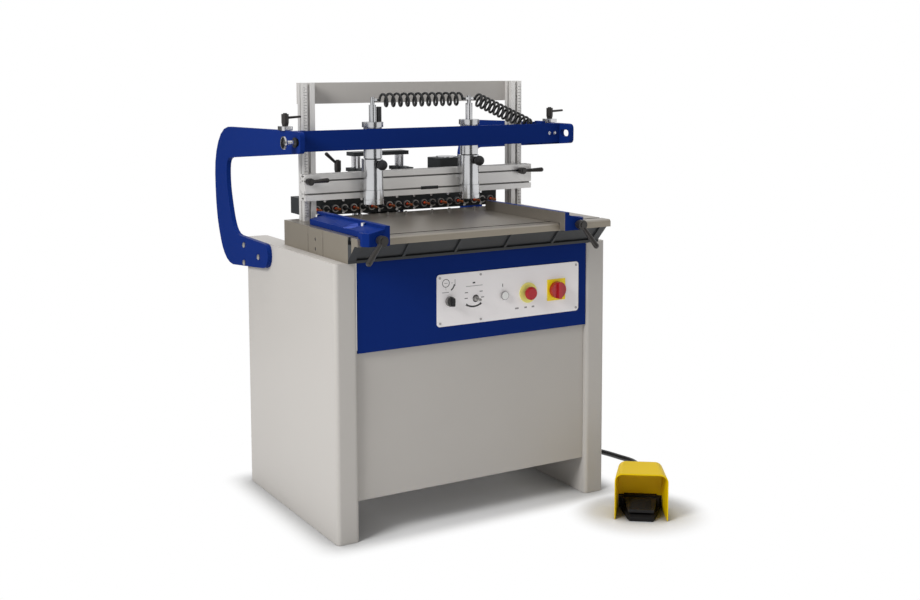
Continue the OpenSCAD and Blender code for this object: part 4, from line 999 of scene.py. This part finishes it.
@dataclass
class Gantry(Assembly):
    """Columns, beam and pressers."""

    column_x: float = 0.3755
    column_front: float = 0.372
    column_rear: float = 0.4122
    profile: float = 0.040
    beam_front: float = 0.3317
    beam_half: float = 0.408
    beam_hollow: Pair = (0.004, 0.036)  # depths between which the beam's slots lie
    sleeve_z: float = 1.1895
    neck_z: float = 1.0753
    neck_groove: float = 0.003
    silencer_x: float = -0.1845  # the silencer lies right of this
    silencer_tall: float = 0.0475
    strip: Pair = (0.020, 0.9735)  # x and z of its middle
    strip_size: Triple = (0.062, 0.0012, 0.010)
    strip_out: float = 0.0004
    strip_round: float = 0.0003
    scale_share: float = 0.30
    scale_z: float = 1.10
    scale_size: Triple = (0.011, 0.0008, 0.40)
    scale_out: float = 0.0003
    scale_round: float = 0.0002
    scale_metal: float = 0.4
    scale_rough: Pair = (0.35, 0.45)
    scale_ink: Color = srgb(70, 70, 72)
    scale_waves: float = 60.0
    fine_tick: Pair = (0.005, 0.0009)  # pitch and line
    fine_start: float = 0.0005  # from the strip's middle line, outwards
    coarse_tick: Pair = (0.010, 0.0011)  # pitch and line

    def dress(self) -> None:
        """Gives columns, beam, pressers and levers their finishes."""
        hollow = [self.beam_front + depth for depth in self.beam_hollow]
        self.paint_zones("columns", Finishes.UPRIGHT, FINE_EDGE,
                         (lambda p: p.y > self.column_rear, Finishes.GREY))
        # The beam's slots get a darker grey as painted shade
        self.paint_zones("beam", Finishes.PROFILE, FINE_EDGE,
                         (lambda p: p.y.between(*hollow) & (abs(p.x) < self.beam_half), Finishes.SLOT))
        self.paint_zones("presser_left", Finishes.TURNED, FINE_EDGE,
                         (self.groove, Finishes.CHARCOAL),
                         (lambda p: self.silencer(p, 0.0), Finishes.PLASTIC),
                         (lambda p: self.silencer(p, self.silencer_tall), Finishes.CHROME))
        self.paint_zones("presser_right", Finishes.TURNED, FINE_EDGE,
                         (self.groove, Finishes.CHARCOAL),
                         (lambda p: p.z > self.sleeve_z, Finishes.CHROME))
        self.paint(Finishes.TURNED, FINE_EDGE, "foot_left", "foot_right")
        self.paint(Finishes.PLASTIC, FINE_EDGE, "presser_knob_left", "presser_knob_right")
        self.paint(Finishes.LEVER, PART_EDGE, "beam_lever_left", "beam_lever_right")

    def groove(self, p: Place) -> Wire:
        """Ring between a presser's tube and its neck."""
        return p.z.between(self.neck_z, self.neck_z + self.neck_groove)

    def silencer(self, p: Place, height: float) -> Wire:
        """Region of the silencer on the left presser, from a height over the presser's sleeve."""
        return (p.x > self.silencer_x) & (p.z > self.sleeve_z + height)

    def build(self) -> None:
        """Adds the column scales and the beam's plain strip."""
        for side in (-1, 1):
            self.scale(side)
        x, z = self.strip
        strip = BENCH.box("beam_strip", at(x, self.beam_front - self.strip_out, z), self.strip_size,
                          self.strip_round)
        fix(strip, "beam", Finishes.LABEL.material())

    def scale(self, side: int) -> None:
        """Adds a scale strip with ticks on the front of one column.

        Args:
            side: -1 for the left column and 1 for the right one.
        """
        x = side * (self.column_x + self.profile * self.scale_share)
        middle = at(x, self.column_front - self.scale_out, self.scale_z)
        strip = BENCH.box(f"column_scale_{side + 1}", middle, self.scale_size, self.scale_round)
        shader = Shader(f"scale_print_{side + 1}")
        p = shader.place()
        fine, coarse = ((p.z % pitch) < line for pitch, line in (self.fine_tick, self.coarse_tick))
        ticks = fine & ((p.x - x) * side > self.fine_start) | coarse
        cloud = shader.noise(self.scale_waves)
        metal = tone(shader, Finishes.PROFILE.value, cloud, cloud)
        fix(strip, "stand", shader.done(
            Base_Color=shader.blend(ticks, metal, self.scale_ink), Metallic=self.scale_metal,
            Roughness=cloud.spread(*self.scale_rough)))


@dataclass
class Bow(Assembly):
    """Blue bow with its bar, clamp plates, levers and knob."""

    top: float = 1.1702
    clamp_x: float = 0.44  # clamp plates lie further out than this
    bracket: Pair = (0.38, 0.4035)  # from x to x, the bright bracket at the bar's rear
    bracket_front: float = 0.2615
    knob_inner: float = -0.4834
    knob_base: float = 0.0046
    knob_ring: Pair = (0.0064, 0.0150)  # inner and outer radius
    knob_ring_deep: float = 0.0052
    bar_front: float = 0.2527
    screw_z: float = 1.139
    screw_xs: tuple[float, ...] = (-0.448, 0.428, 0.448)
    screw_size: Pair = (0.0055, 0.002)

    def dress(self) -> None:
        """Gives the bow's nodes their finishes."""
        self.paint(Finishes.BLUE, SHEET_EDGE, "bow_arms")
        self.paint_zones(
            "bow_bar", Finishes.BLUE, SHEET_EDGE,
            (lambda p: (p.z > self.top) & (abs(p.x) > self.clamp_x), Finishes.CHROME),
            (lambda p: p.x.between(*self.bracket) & (p.y > self.bracket_front), Finishes.CHROME))
        low, high = corners("bow_knob")
        axis = (low + high) / 2

        def ring(p: Place) -> Wire:
            """Dark ring sunk in the knob's face, painted as shade."""
            around = reach(p.y - axis.y, p.z - axis.z).between(*self.knob_ring)
            return (p.x < low.x + self.knob_ring_deep) & around

        self.paint_zones("bow_knob", Finishes.PLASTIC, FINE_EDGE,
                         (lambda p: p.x < self.knob_inner - self.knob_base, Finishes.CHROME),
                         (ring, Finishes.SHADE))
        self.paint(Finishes.LEVER, PART_EDGE, "bow_lever_left", "bow_lever_right")

    def build(self) -> None:
        """Adds the bar's screws."""
        seats = [seated(at(x, self.bar_front, self.screw_z), Axis.FRONT.value) for x in self.screw_xs]
        heads = BENCH.copies("bar_screws", BENCH.screw(*self.screw_size), seats)
        fix(heads, "stand", Finishes.CHROME.material())


@dataclass
class Hose:
    """Coil hose between two ports, made in two halves."""

    name: str
    start: Vector
    end: Vector
    curls: int
    first: str
    last: str
    lead: float = 0.008
    radius: float = 0.0040
    resolution: int = 3
    coil: float = 0.0192
    rings: int = 24
    open_curl: float = 0.6  # curls over which each end's coil widens

    def opening(self, share: float) -> float:
        """Share of the coil's radius at a share of its curls."""
        e = min(1.0, min(share, 1 - share) * self.curls / self.open_curl)
        return e * e * (3 - 2 * e)

    def path(self) -> list[Vector]:
        """Works out the hose's centre line.

        Returns:
            Its points, from port to port.
        """
        step = Vector((self.lead, 0, 0))
        p, q = self.start + step, self.end - step
        side = Axis.BACK.value
        up = side.cross((q - p).normalized())
        count = self.curls * self.rings
        points = [self.start]
        for i in range(count + 1):
            share = i / count
            turn = math.tau * self.curls * share
            round_axis = math.cos(turn) * up + math.sin(turn) * side
            points.append(p + (q - p) * share + self.coil * self.opening(share) * round_axis)
        return points + [self.end]

    def build(self) -> None:
        """Makes both halves as tubes with the hose's finish and hides the imported coil hoses."""
        path = self.path()
        middle = len(path) // 2
        for half, points, ends in (("a", path[: middle + 1], (self.first, "beam")),
                                   ("b", path[middle:], ("beam", self.last))):
            piece = BENCH.tube(f"{self.name}_{half}", points, self.radius, self.resolution)
            dress(piece, Finishes.HOSE.material())
            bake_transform(piece)
            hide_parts("coil_hoses")
            LOG.info("hose %s", piece.name)


@dataclass
class Pedal(Assembly):
    """Foot switch. Its sizes count from its own centre, along its own axes."""

    center: Vector = field(default_factory=lambda: at(*PEDAL, 0))
    turn: float = math.radians(-37)
    half: float = 0.0766
    front: float = -0.061
    rear: float = 0.0576
    taper: float = math.tan(math.radians(5.5))
    housing_top: float = 0.0435
    rear_top: float = 0.0366
    hinge: Pair = (0.029, 0.033)  # y and z
    dip: float = math.radians(4.5)
    treadle_top: float = 0.005
    ribs: int = 8
    rib_first: float = -0.014
    rib_pitch: float = 0.0085
    rib_size: Triple = (0.062, 0.0042, 0.0036)
    rib_round: float = 0.0012
    screen: Triple = (0.131, 0.003, 0.039)
    screen_round: float = 0.0008
    cable_exit: Triple = (0, 0.0778, 0.022)

    def local(self, x: float, y: float, z: float) -> Vector:
        """Place in the part's frame of a point of the pedal's own frame."""
        return self.center + Matrix.Rotation(self.turn, 3, "Z") @ Vector((x, y, z))

    def turned(self, x: float, y: float, z: float) -> Matrix:
        """Move to a point of the pedal's own frame, along its axes."""
        return Matrix.Translation(self.local(x, y, z)) @ Matrix.Rotation(self.turn, 4, "Z")

    def dress(self) -> None:
        """Gives guard and treadle their finishes."""
        coats = zoned("pedal_guard_coats", Finishes.YELLOW, [(self.housing, Finishes.RUBBER)], PART_EDGE,
                      self.center, self.turn)
        dress(self.nodes["pedal_guard"], coats)
        self.paint(Finishes.RUBBER, SHEET_EDGE, "pedal_treadle")

    def housing(self, p: Place) -> Wire:
        """Region of the switch's housing under the hood."""
        walls = (abs(p.x) + (p.y - self.front) * self.taper > self.half) | (p.z > self.housing_top)
        return 1 - (walls | ((p.y > self.rear) & (p.z > self.rear_top)))

    def build(self) -> None:
        """Adds the ribs across the treadle and, behind it, a dark screen that is painted shade over the
        floor seen through the guard.
        """
        tilt = self.turned(0, *self.hinge) @ Matrix.Rotation(self.dip, 4, "X")
        seats = [tilt @ Matrix.Translation((0, self.rib_first - self.rib_pitch * i, self.treadle_top))
                 for i in range(self.ribs)]
        rib = BENCH.box("rib", ORIGIN, self.rib_size, self.rib_round)
        fix(BENCH.copies("treadle_ribs", rib, seats), "pedal_treadle",
            Finishes.RUBBER.material())
        # Painted shade: a dark rubber screen stands where the guard's inside is only in shadow
        _, deep, tall = self.screen
        screen = BENCH.box("screen", ORIGIN, self.screen, self.screen_round)
        fix(BENCH.copies("pedal_shade_screen", screen, [self.turned(0, self.rear - deep, tall / 2)]), "stand",
            Finishes.RUBBER.material())

    def cable(self) -> Cable:
        """Cable that leaves the rear of the foot switch."""
        return Cable(self.local(*self.cable_exit), Matrix.Rotation(self.turn, 3, "Z") @ Axis.BACK.value)


@dataclass
class Cable:
    """Foot switch cable over the floor, from the pedal to the gland on the pillar.

    The points of its route over the floor are in the part's frame.
    """

    start: Vector
    way: Vector
    end: Vector = field(default_factory=lambda: at(0.4325, 0.6983, 0.080))
    out: Vector = field(default_factory=lambda: Axis.BACK.value)
    diameter: float = 0.018
    resolution: int = 4
    lead: float = 0.020
    steps: int = 3
    floor: tuple[Triple, ...] = (
        (0.534, -0.389, 0.012), (0.624, -0.279, 0.010), (0.684, -0.204, 0.010), (0.704, -0.144, 0.010),
        (0.694, -0.081, 0.010), (0.677, -0.006, 0.010), (0.634, 0.091, 0.010), (0.594, 0.221, 0.010),
        (0.559, 0.341, 0.010), (0.509, 0.431, 0.012), (0.454, 0.463, 0.040))
    sleeve_rings: int = 5
    sleeve_step: float = 0.0052
    sleeve_shares: Pair = (0.78, 0.58)  # first and last radius, in the cable's diameters
    sleeve_sink: float = 0.15
    sleeve_overlap: float = 1.05
    sleeve_round: float = 0.0006

    def path(self) -> list[Vector]:
        """Works out a smooth path through the route's points.

        Returns:
            The path's points.
        """
        route = [self.start, self.start + self.lead * self.way, self.start + 2 * self.lead * self.way,
                 *(Vector(p) for p in self.floor),
                 self.end + 2 * self.lead * self.out, self.end + self.lead * self.out, self.end]
        points = []
        for i in range(len(route) - 1):
            a, b, c = route[max(i - 1, 0)], route[i], route[i + 1]
            d = route[min(i + 2, len(route) - 1)]
            square, cube = 2 * a - 5 * b + 4 * c - d, 3 * b - 3 * c + d - a
            for k in range(self.steps):
                t = k / self.steps
                points.append(b + t / 2 * ((c - a) + t * (square + t * cube)))
        return points + [route[-1]]

    def build(self) -> None:
        path = self.path()
        length = sum((b - a).length for a, b in zip(path, path[1:]))
        piece = BENCH.tube("pedal_cable", path, self.diameter / 2, self.resolution)
        fix(piece, "stand", Finishes.HOSE.material())
        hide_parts("pedal_cord")
        sleeves = self.sleeve("pedal_sleeve", self.start, self.way)
        sleeves += self.sleeve("pillar_sleeve", self.end, self.out)
        fix(BENCH.join("cable_sleeves", sleeves), "stand", Finishes.RUBBER.material())

    def sleeve(self, name: str, seat: Vector, way: Vector) -> list[bpy.types.Object]:
        """Ribbed sleeve that narrows along the cable's end.

        Args:
            name: Name of its rings.
            seat: Centre of the gland's face.
            way: Direction along the cable.

        Returns:
            The rings.
        """
        step = self.sleeve_step
        wide, narrow = (self.diameter * share for share in self.sleeve_shares)
        radii = [wide + (narrow - wide) * i / self.sleeve_rings for i in range(self.sleeve_rings + 1)]
        return [BENCH.rod(f"{name}_{i}", seat + way * step * (i - self.sleeve_sink), way, radii[i],
                          step * self.sleeve_overlap, self.sleeve_round, radii[i + 1])
                for i in range(self.sleeve_rings)]


@dataclass
class Head(Assembly):
    """Boring head, its carriage, motor and spindles."""

    front: float = 0.4603
    pitch: float = 0.032
    spindle_z: float = 0.911
    chuck_y: float = 0.446
    chuck_front: float = 0.0035
    chuck_skin: float = 0.0002
    rim_inner: float = 0.0088
    shank: float = 0.009
    posts: Pair = (0.8387, 1.0589)  # heights between which the guide posts show
    disc_z: float = 1.0511
    bolts: int = 10
    bolt_rows: Pair = (0.8955, 0.9355)
    bolt_size: Pair = (0.0045, 0.003)
    cowl_rear: float = 0.7786
    fan_radius: float = 0.056
    fan_thick: float = 0.005
    fan_sink: float = 0.001
    fan_rings: int = 5
    fan_bar: float = 0.0036
    fan_gap: float = 0.0042
    fan_deep: float = 0.0032
    fan_draft: float = 0.0004
    fan_shade: float = 0.0015

    def dress(self) -> None:
        """Gives the head's nodes their finishes."""
        self.paint(Finishes.HEAD, PART_EDGE, "swing_frame", "head_body", "motor")
        self.paint(Finishes.LEVER, PART_EDGE, "rear_lever")
        self.paint_zones("feed_carriage", Finishes.HEAD, FINE_EDGE,
                         (lambda p: p.z.between(*self.posts), Finishes.CHROME))
        self.paint_zones("head_fittings", Finishes.HEAD, PART_EDGE,
                         (lambda p: (p.z > self.disc_z) & (p.x > 0), Finishes.TURNED))
        odd = self.spindle_coats("odd", Finishes.ORANGE, Finishes.BRONZE)
        even = self.spindle_coats("even", Finishes.PLASTIC, Finishes.PLASTIC)
        for i in range(1, SPINDLES + 1):
            dress(self.nodes[f"spindle_{i:02d}"], odd if i % 2 else even)

    def spindle_coats(self, parity: str, shank: Finishes, bit: Finishes) -> bpy.types.Material:
        """Material of every second spindle.

        Args:
            parity: Odd or even, for its name.
            shank: Finish of the bit's shank.
            bit: Finish of the bit's tip.

        Returns:
            The material.
        """
        return zoned(f"spindle_{parity}", Finishes.HEAD, [
            (self.rim, Finishes.BOLT),
            (lambda p: p.y < self.chuck_y - self.chuck_skin, shank),
            (lambda p: p.y < self.chuck_y - self.shank, bit)], BIT_EDGE)

    def rim(self, p: Place) -> Wire:
        """Bright rim round the front of each chuck."""
        across = (p.x + self.pitch / 2) % self.pitch - self.pitch / 2
        outer = reach(across, p.z - self.spindle_z) > self.rim_inner
        return outer & (p.y < self.chuck_y + self.chuck_front)

    def grille(self) -> None:
        """Adds the ringed fan grille on the motor's cowl, with painted shade deep in its grooves."""
        plate = BENCH.rod("fan_plate", Vector((0, 0, -self.fan_sink)), Axis.UP.value, self.fan_radius,
                          self.fan_thick, sides=FINE_SIDES)
        ring = [(self.fan_bar, 0.0), (self.fan_draft, -self.fan_deep), (self.fan_gap, 0.0),
                (self.fan_draft, self.fan_deep)]
        BENCH.inset_top(plate, [(self.fan_draft, 0.0)] + ring * self.fan_rings)
        BENCH.soften(plate, self.fan_draft)
        seat = seated(at(0, self.cowl_rear, self.spindle_z), Axis.BACK.value)
        # Painted shade: the grooves' bottoms and the plate's sides near the cowl are near-black
        groove_shade = [(lambda p: p.y < self.cowl_rear + self.fan_shade, Finishes.SHADE)]
        fix(BENCH.copies("fan_grille", plate, [seat]), "head",
            zoned("fan_grille_coats", Finishes.HEAD, groove_shade))

    def build(self) -> None:
        """Adds the bolts on the head's front and the fan grille at its rear."""
        seats = [seated(at((i - (self.bolts - 1) / 2) * 2 * self.pitch, self.front, z), Axis.FRONT.value)
                 for i in range(self.bolts) for z in self.bolt_rows]
        bolts = BENCH.copies("head_bolts", BENCH.screw(*self.bolt_size), seats)
        fix(bolts, "head", Finishes.CHROME.material())
        self.grille()


@dataclass(frozen=True)
class Lamp:
    """Soft square lamp: where it hangs, what it points at, its side and its power in watts."""

    name: str
    place: Triple
    aim: Triple
    size: float
    power: float

    def build(self) -> None:
        """Hangs the lamp."""
        data = bpy.data.lights.new(self.name, "AREA")
        data.size = self.size
        data.energy = self.power
        lamp = bpy.data.objects.new(self.name, data)
        bpy.context.collection.objects.link(lamp)
        lamp.visible_glossy = False
        lamp.location = self.place
        lamp.rotation_euler = (Vector(self.aim) - Vector(self.place)).to_track_quat("-Z", "Y").to_euler()


@dataclass(frozen=True)
class Flag:
    """Dark card that only shows in reflections, for the dark bands in bright metal.

    Its bearing is in degrees from the middle of the floor, counter-clockwise from +X.
    """

    name: str
    bearing: float
    distance: float
    wide: float
    tall: float

    def build(self) -> None:
        """Stands the card on the floor, facing the middle."""
        turn = math.radians(self.bearing)
        place = (self.distance * math.cos(turn), self.distance * math.sin(turn), self.tall / 2)
        BENCH.clear()
        bpy.ops.mesh.primitive_plane_add(size=1, location=place,
                                         rotation=(math.pi / 2, 0, turn + math.pi / 2))
        bpy.context.object.scale = (self.wide, self.tall, 1)
        card = BENCH.settle(self.name)
        for ray in ("camera", "diffuse", "transmission", "volume_scatter", "shadow"):
            setattr(card, f"visible_{ray}", False)
        dress(card, Finishes.CARD.material())


@dataclass
class Studio:
    """Camera, lamps, floor and background. The camera, lamps and flags stand in the part's frame.

    The focal length, the middle and the picture are in pixels.
    """

    camera_place: Triple = (-1.9146, -3.4340, 1.3576)
    yaw: float = math.radians(30.466)
    pitch: float = math.radians(5.638)
    roll: float = math.radians(-0.150)
    focal: float = 1248.4
    middle: Pair = (460.0, 189.6)
    picture: tuple[int, int] = (920, 600)
    sensor: float = 36.0
    clip: float = 50.0
    lamps: tuple[Lamp, ...] = (
        Lamp("key", (-3.9, -1.3, 3.1), (-0.1, 0, 0.7), 1.5, 154),
        Lamp("fill", (2.2, -4.0, 2.4), (0, 0, 0.8), 3.0, 23),
        Lamp("top", (0, 0.2, 4.2), (0, 0, 0.9), 2.0, 72))
    flags: tuple[Flag, ...] = (
        Flag("right_flag", 266, 2.5, 1.5, 3.0),
        Flag("left_flag", 108, 2.5, 2.0, 3.0))
    floor_size: float = 40.0
    floor_z: float = -0.0005
    # Colour of the painted contact shade on the floor, and of the floor away from it
    floor_shade: Color = (0.10, 0.10, 0.10)
    floor_light: Color = (0.94, 0.94, 0.94)
    floor_rough: float = 0.9
    fleck_waves: float = 3.0
    fleck: float = 0.02
    # Reach and samples of the painted contact shade
    contact_shade: float = 0.16
    contact_shade_samples: int = 8
    shadow: float = 0.10
    stand: Pair = (0.4675, 0.34)  # half the stand's width and depth
    pedal_reach: float = 0.13
    ambient: float = 0.235
    mirrored: float = 0.72

    def camera(self) -> None:
        """Sets the camera at the photograph's view."""
        data = bpy.data.cameras.new("camera")
        data.sensor_width = self.sensor
        data.sensor_fit = "HORIZONTAL"
        wide, tall = self.picture
        data.lens = self.focal / wide * self.sensor
        data.shift_x = (wide / 2 - self.middle[0]) / wide
        data.shift_y = (self.middle[1] - tall / 2) / wide
        data.clip_end = self.clip
        camera = bpy.data.objects.new("camera", data)
        bpy.context.collection.objects.link(camera)
        camera.location = self.camera_place
        turn = Matrix.Rotation(-self.yaw, 3, "Z") @ Matrix.Rotation(math.pi / 2 - self.pitch, 3, "X")
        camera.rotation_euler = (turn @ Matrix.Rotation(self.roll, 3, "Z")).to_euler()
        bpy.context.scene.camera = camera

    def floor(self) -> None:
        """Adds a pale floor that is white to the camera and keeps the shadow near the machine, where
        painted contact shade also darkens its colour.
        """
        BENCH.clear()
        bpy.ops.mesh.primitive_plane_add(size=self.floor_size, location=(0, 0, self.floor_z))
        plane = BENCH.settle("floor")
        shader = Shader("floor_paint")
        seen = shader.ray("Camera") | shader.ray("Glossy")
        glow = shader.node("ShaderNodeEmission", {}, {"Color": (1.0, 1.0, 1.0), "Strength": 1.0})
        # Painted shade: ambient occlusion darkens the floor's colour where the machine stands close over it
        contact_shade = shader.node("ShaderNodeAmbientOcclusion", {"samples": self.contact_shade_samples},
                              {"Distance": self.contact_shade}, "AO")
        light = contact_shade + shader.noise(self.fleck_waves) * self.fleck
        color = shader.blend(light, self.floor_shade, self.floor_light)
        shader.done(Base_Color=color, Roughness=self.floor_rough)
        half, deep = self.stand
        stand, pedal = shader.place(at(0, deep, 0)), shader.place(at(*PEDAL, 0))
        beside = reach((abs(stand.x) - half) | 0.0, (abs(stand.y) - deep) | 0.0)
        near = beside & (reach(pedal.x, pedal.y) - self.pedal_reach)
        far = shader.node("ShaderNodeMapRange", {"interpolation_type": "SMOOTHSTEP"}, {
            "Value": near, "From Min": 0.0, "From Max": self.shadow, "To Min": 0.0, "To Max": 1.0})
        mixed = shader.node("ShaderNodeMixShader", {}, {0: seen * far, 1: shader.surface, 2: glow})
        shader.feed(shader.output.inputs["Surface"], mixed)
        dress(plane, shader.material)

    def world(self) -> None:
        """Sets a white background, with plain soft light from all round."""
        world = bpy.data.worlds.new("studio")
        world.use_nodes = True
        nodes = Nodes(world.node_tree)
        ground = nodes.tree.nodes["Background"]
        white = nodes.ray("Camera") | nodes.ray("Transmission")
        lit = nodes.ray("Glossy").spread(self.ambient, self.mirrored)
        nodes.feed(ground.inputs["Color"], (1.0, 1.0, 1.0))
        nodes.feed(ground.inputs["Strength"], white | lit)
        bpy.context.scene.world = world

    def build(self) -> None:
        """Sets up the whole studio."""
        bpy.context.scene.view_settings.view_transform = "Standard"
        self.camera()
        for thing in (*self.lamps, *self.flags):
            thing.build()
        self.floor()
        self.world()


def hoses() -> tuple[Hose, Hose]:
    """Sets out the coil hoses, from the left presser to the right one and from there to the stand.

    Returns:
        The left hose and the right hose.
    """
    port_y, port_z = 0.2967, 1.2553
    left, right_in, right_out = (at(x, port_y, port_z) for x in (-0.1837, 0.1317, 0.1603))
    stand = at(0.3897, port_y, 1.163)
    return (Hose("left_hose", left, right_in, curls=12, first="presser_left", last="presser_right"),
            Hose("right_hose", right_out, stand, curls=13, first="presser_right", last="stand"))


def main() -> None:
    """Loads the frame, dresses its nodes and adds the new pieces in order."""
    logging.basicConfig(level=logging.INFO, format="%(message)s")
    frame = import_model()
    nodes: dict[str, bpy.types.Object] = frame["nodes"]
    Studio().build()
    pedal = Pedal(nodes)
    pedal.cable().build()
    pedal.dress()
    pedal.build()
    for hose in hoses():
        hose.build()
    Table(nodes).dress()
    fences = Fence(nodes, "left", inner=-0.3465, way=-1), Fence(nodes, "right", inner=0.2405, way=1)
    for part in (Stand(nodes), *fences, Gantry(nodes), Bow(nodes), Head(nodes)):
        part.dress()
        part.build()


if __name__ == "__main__":
    main()
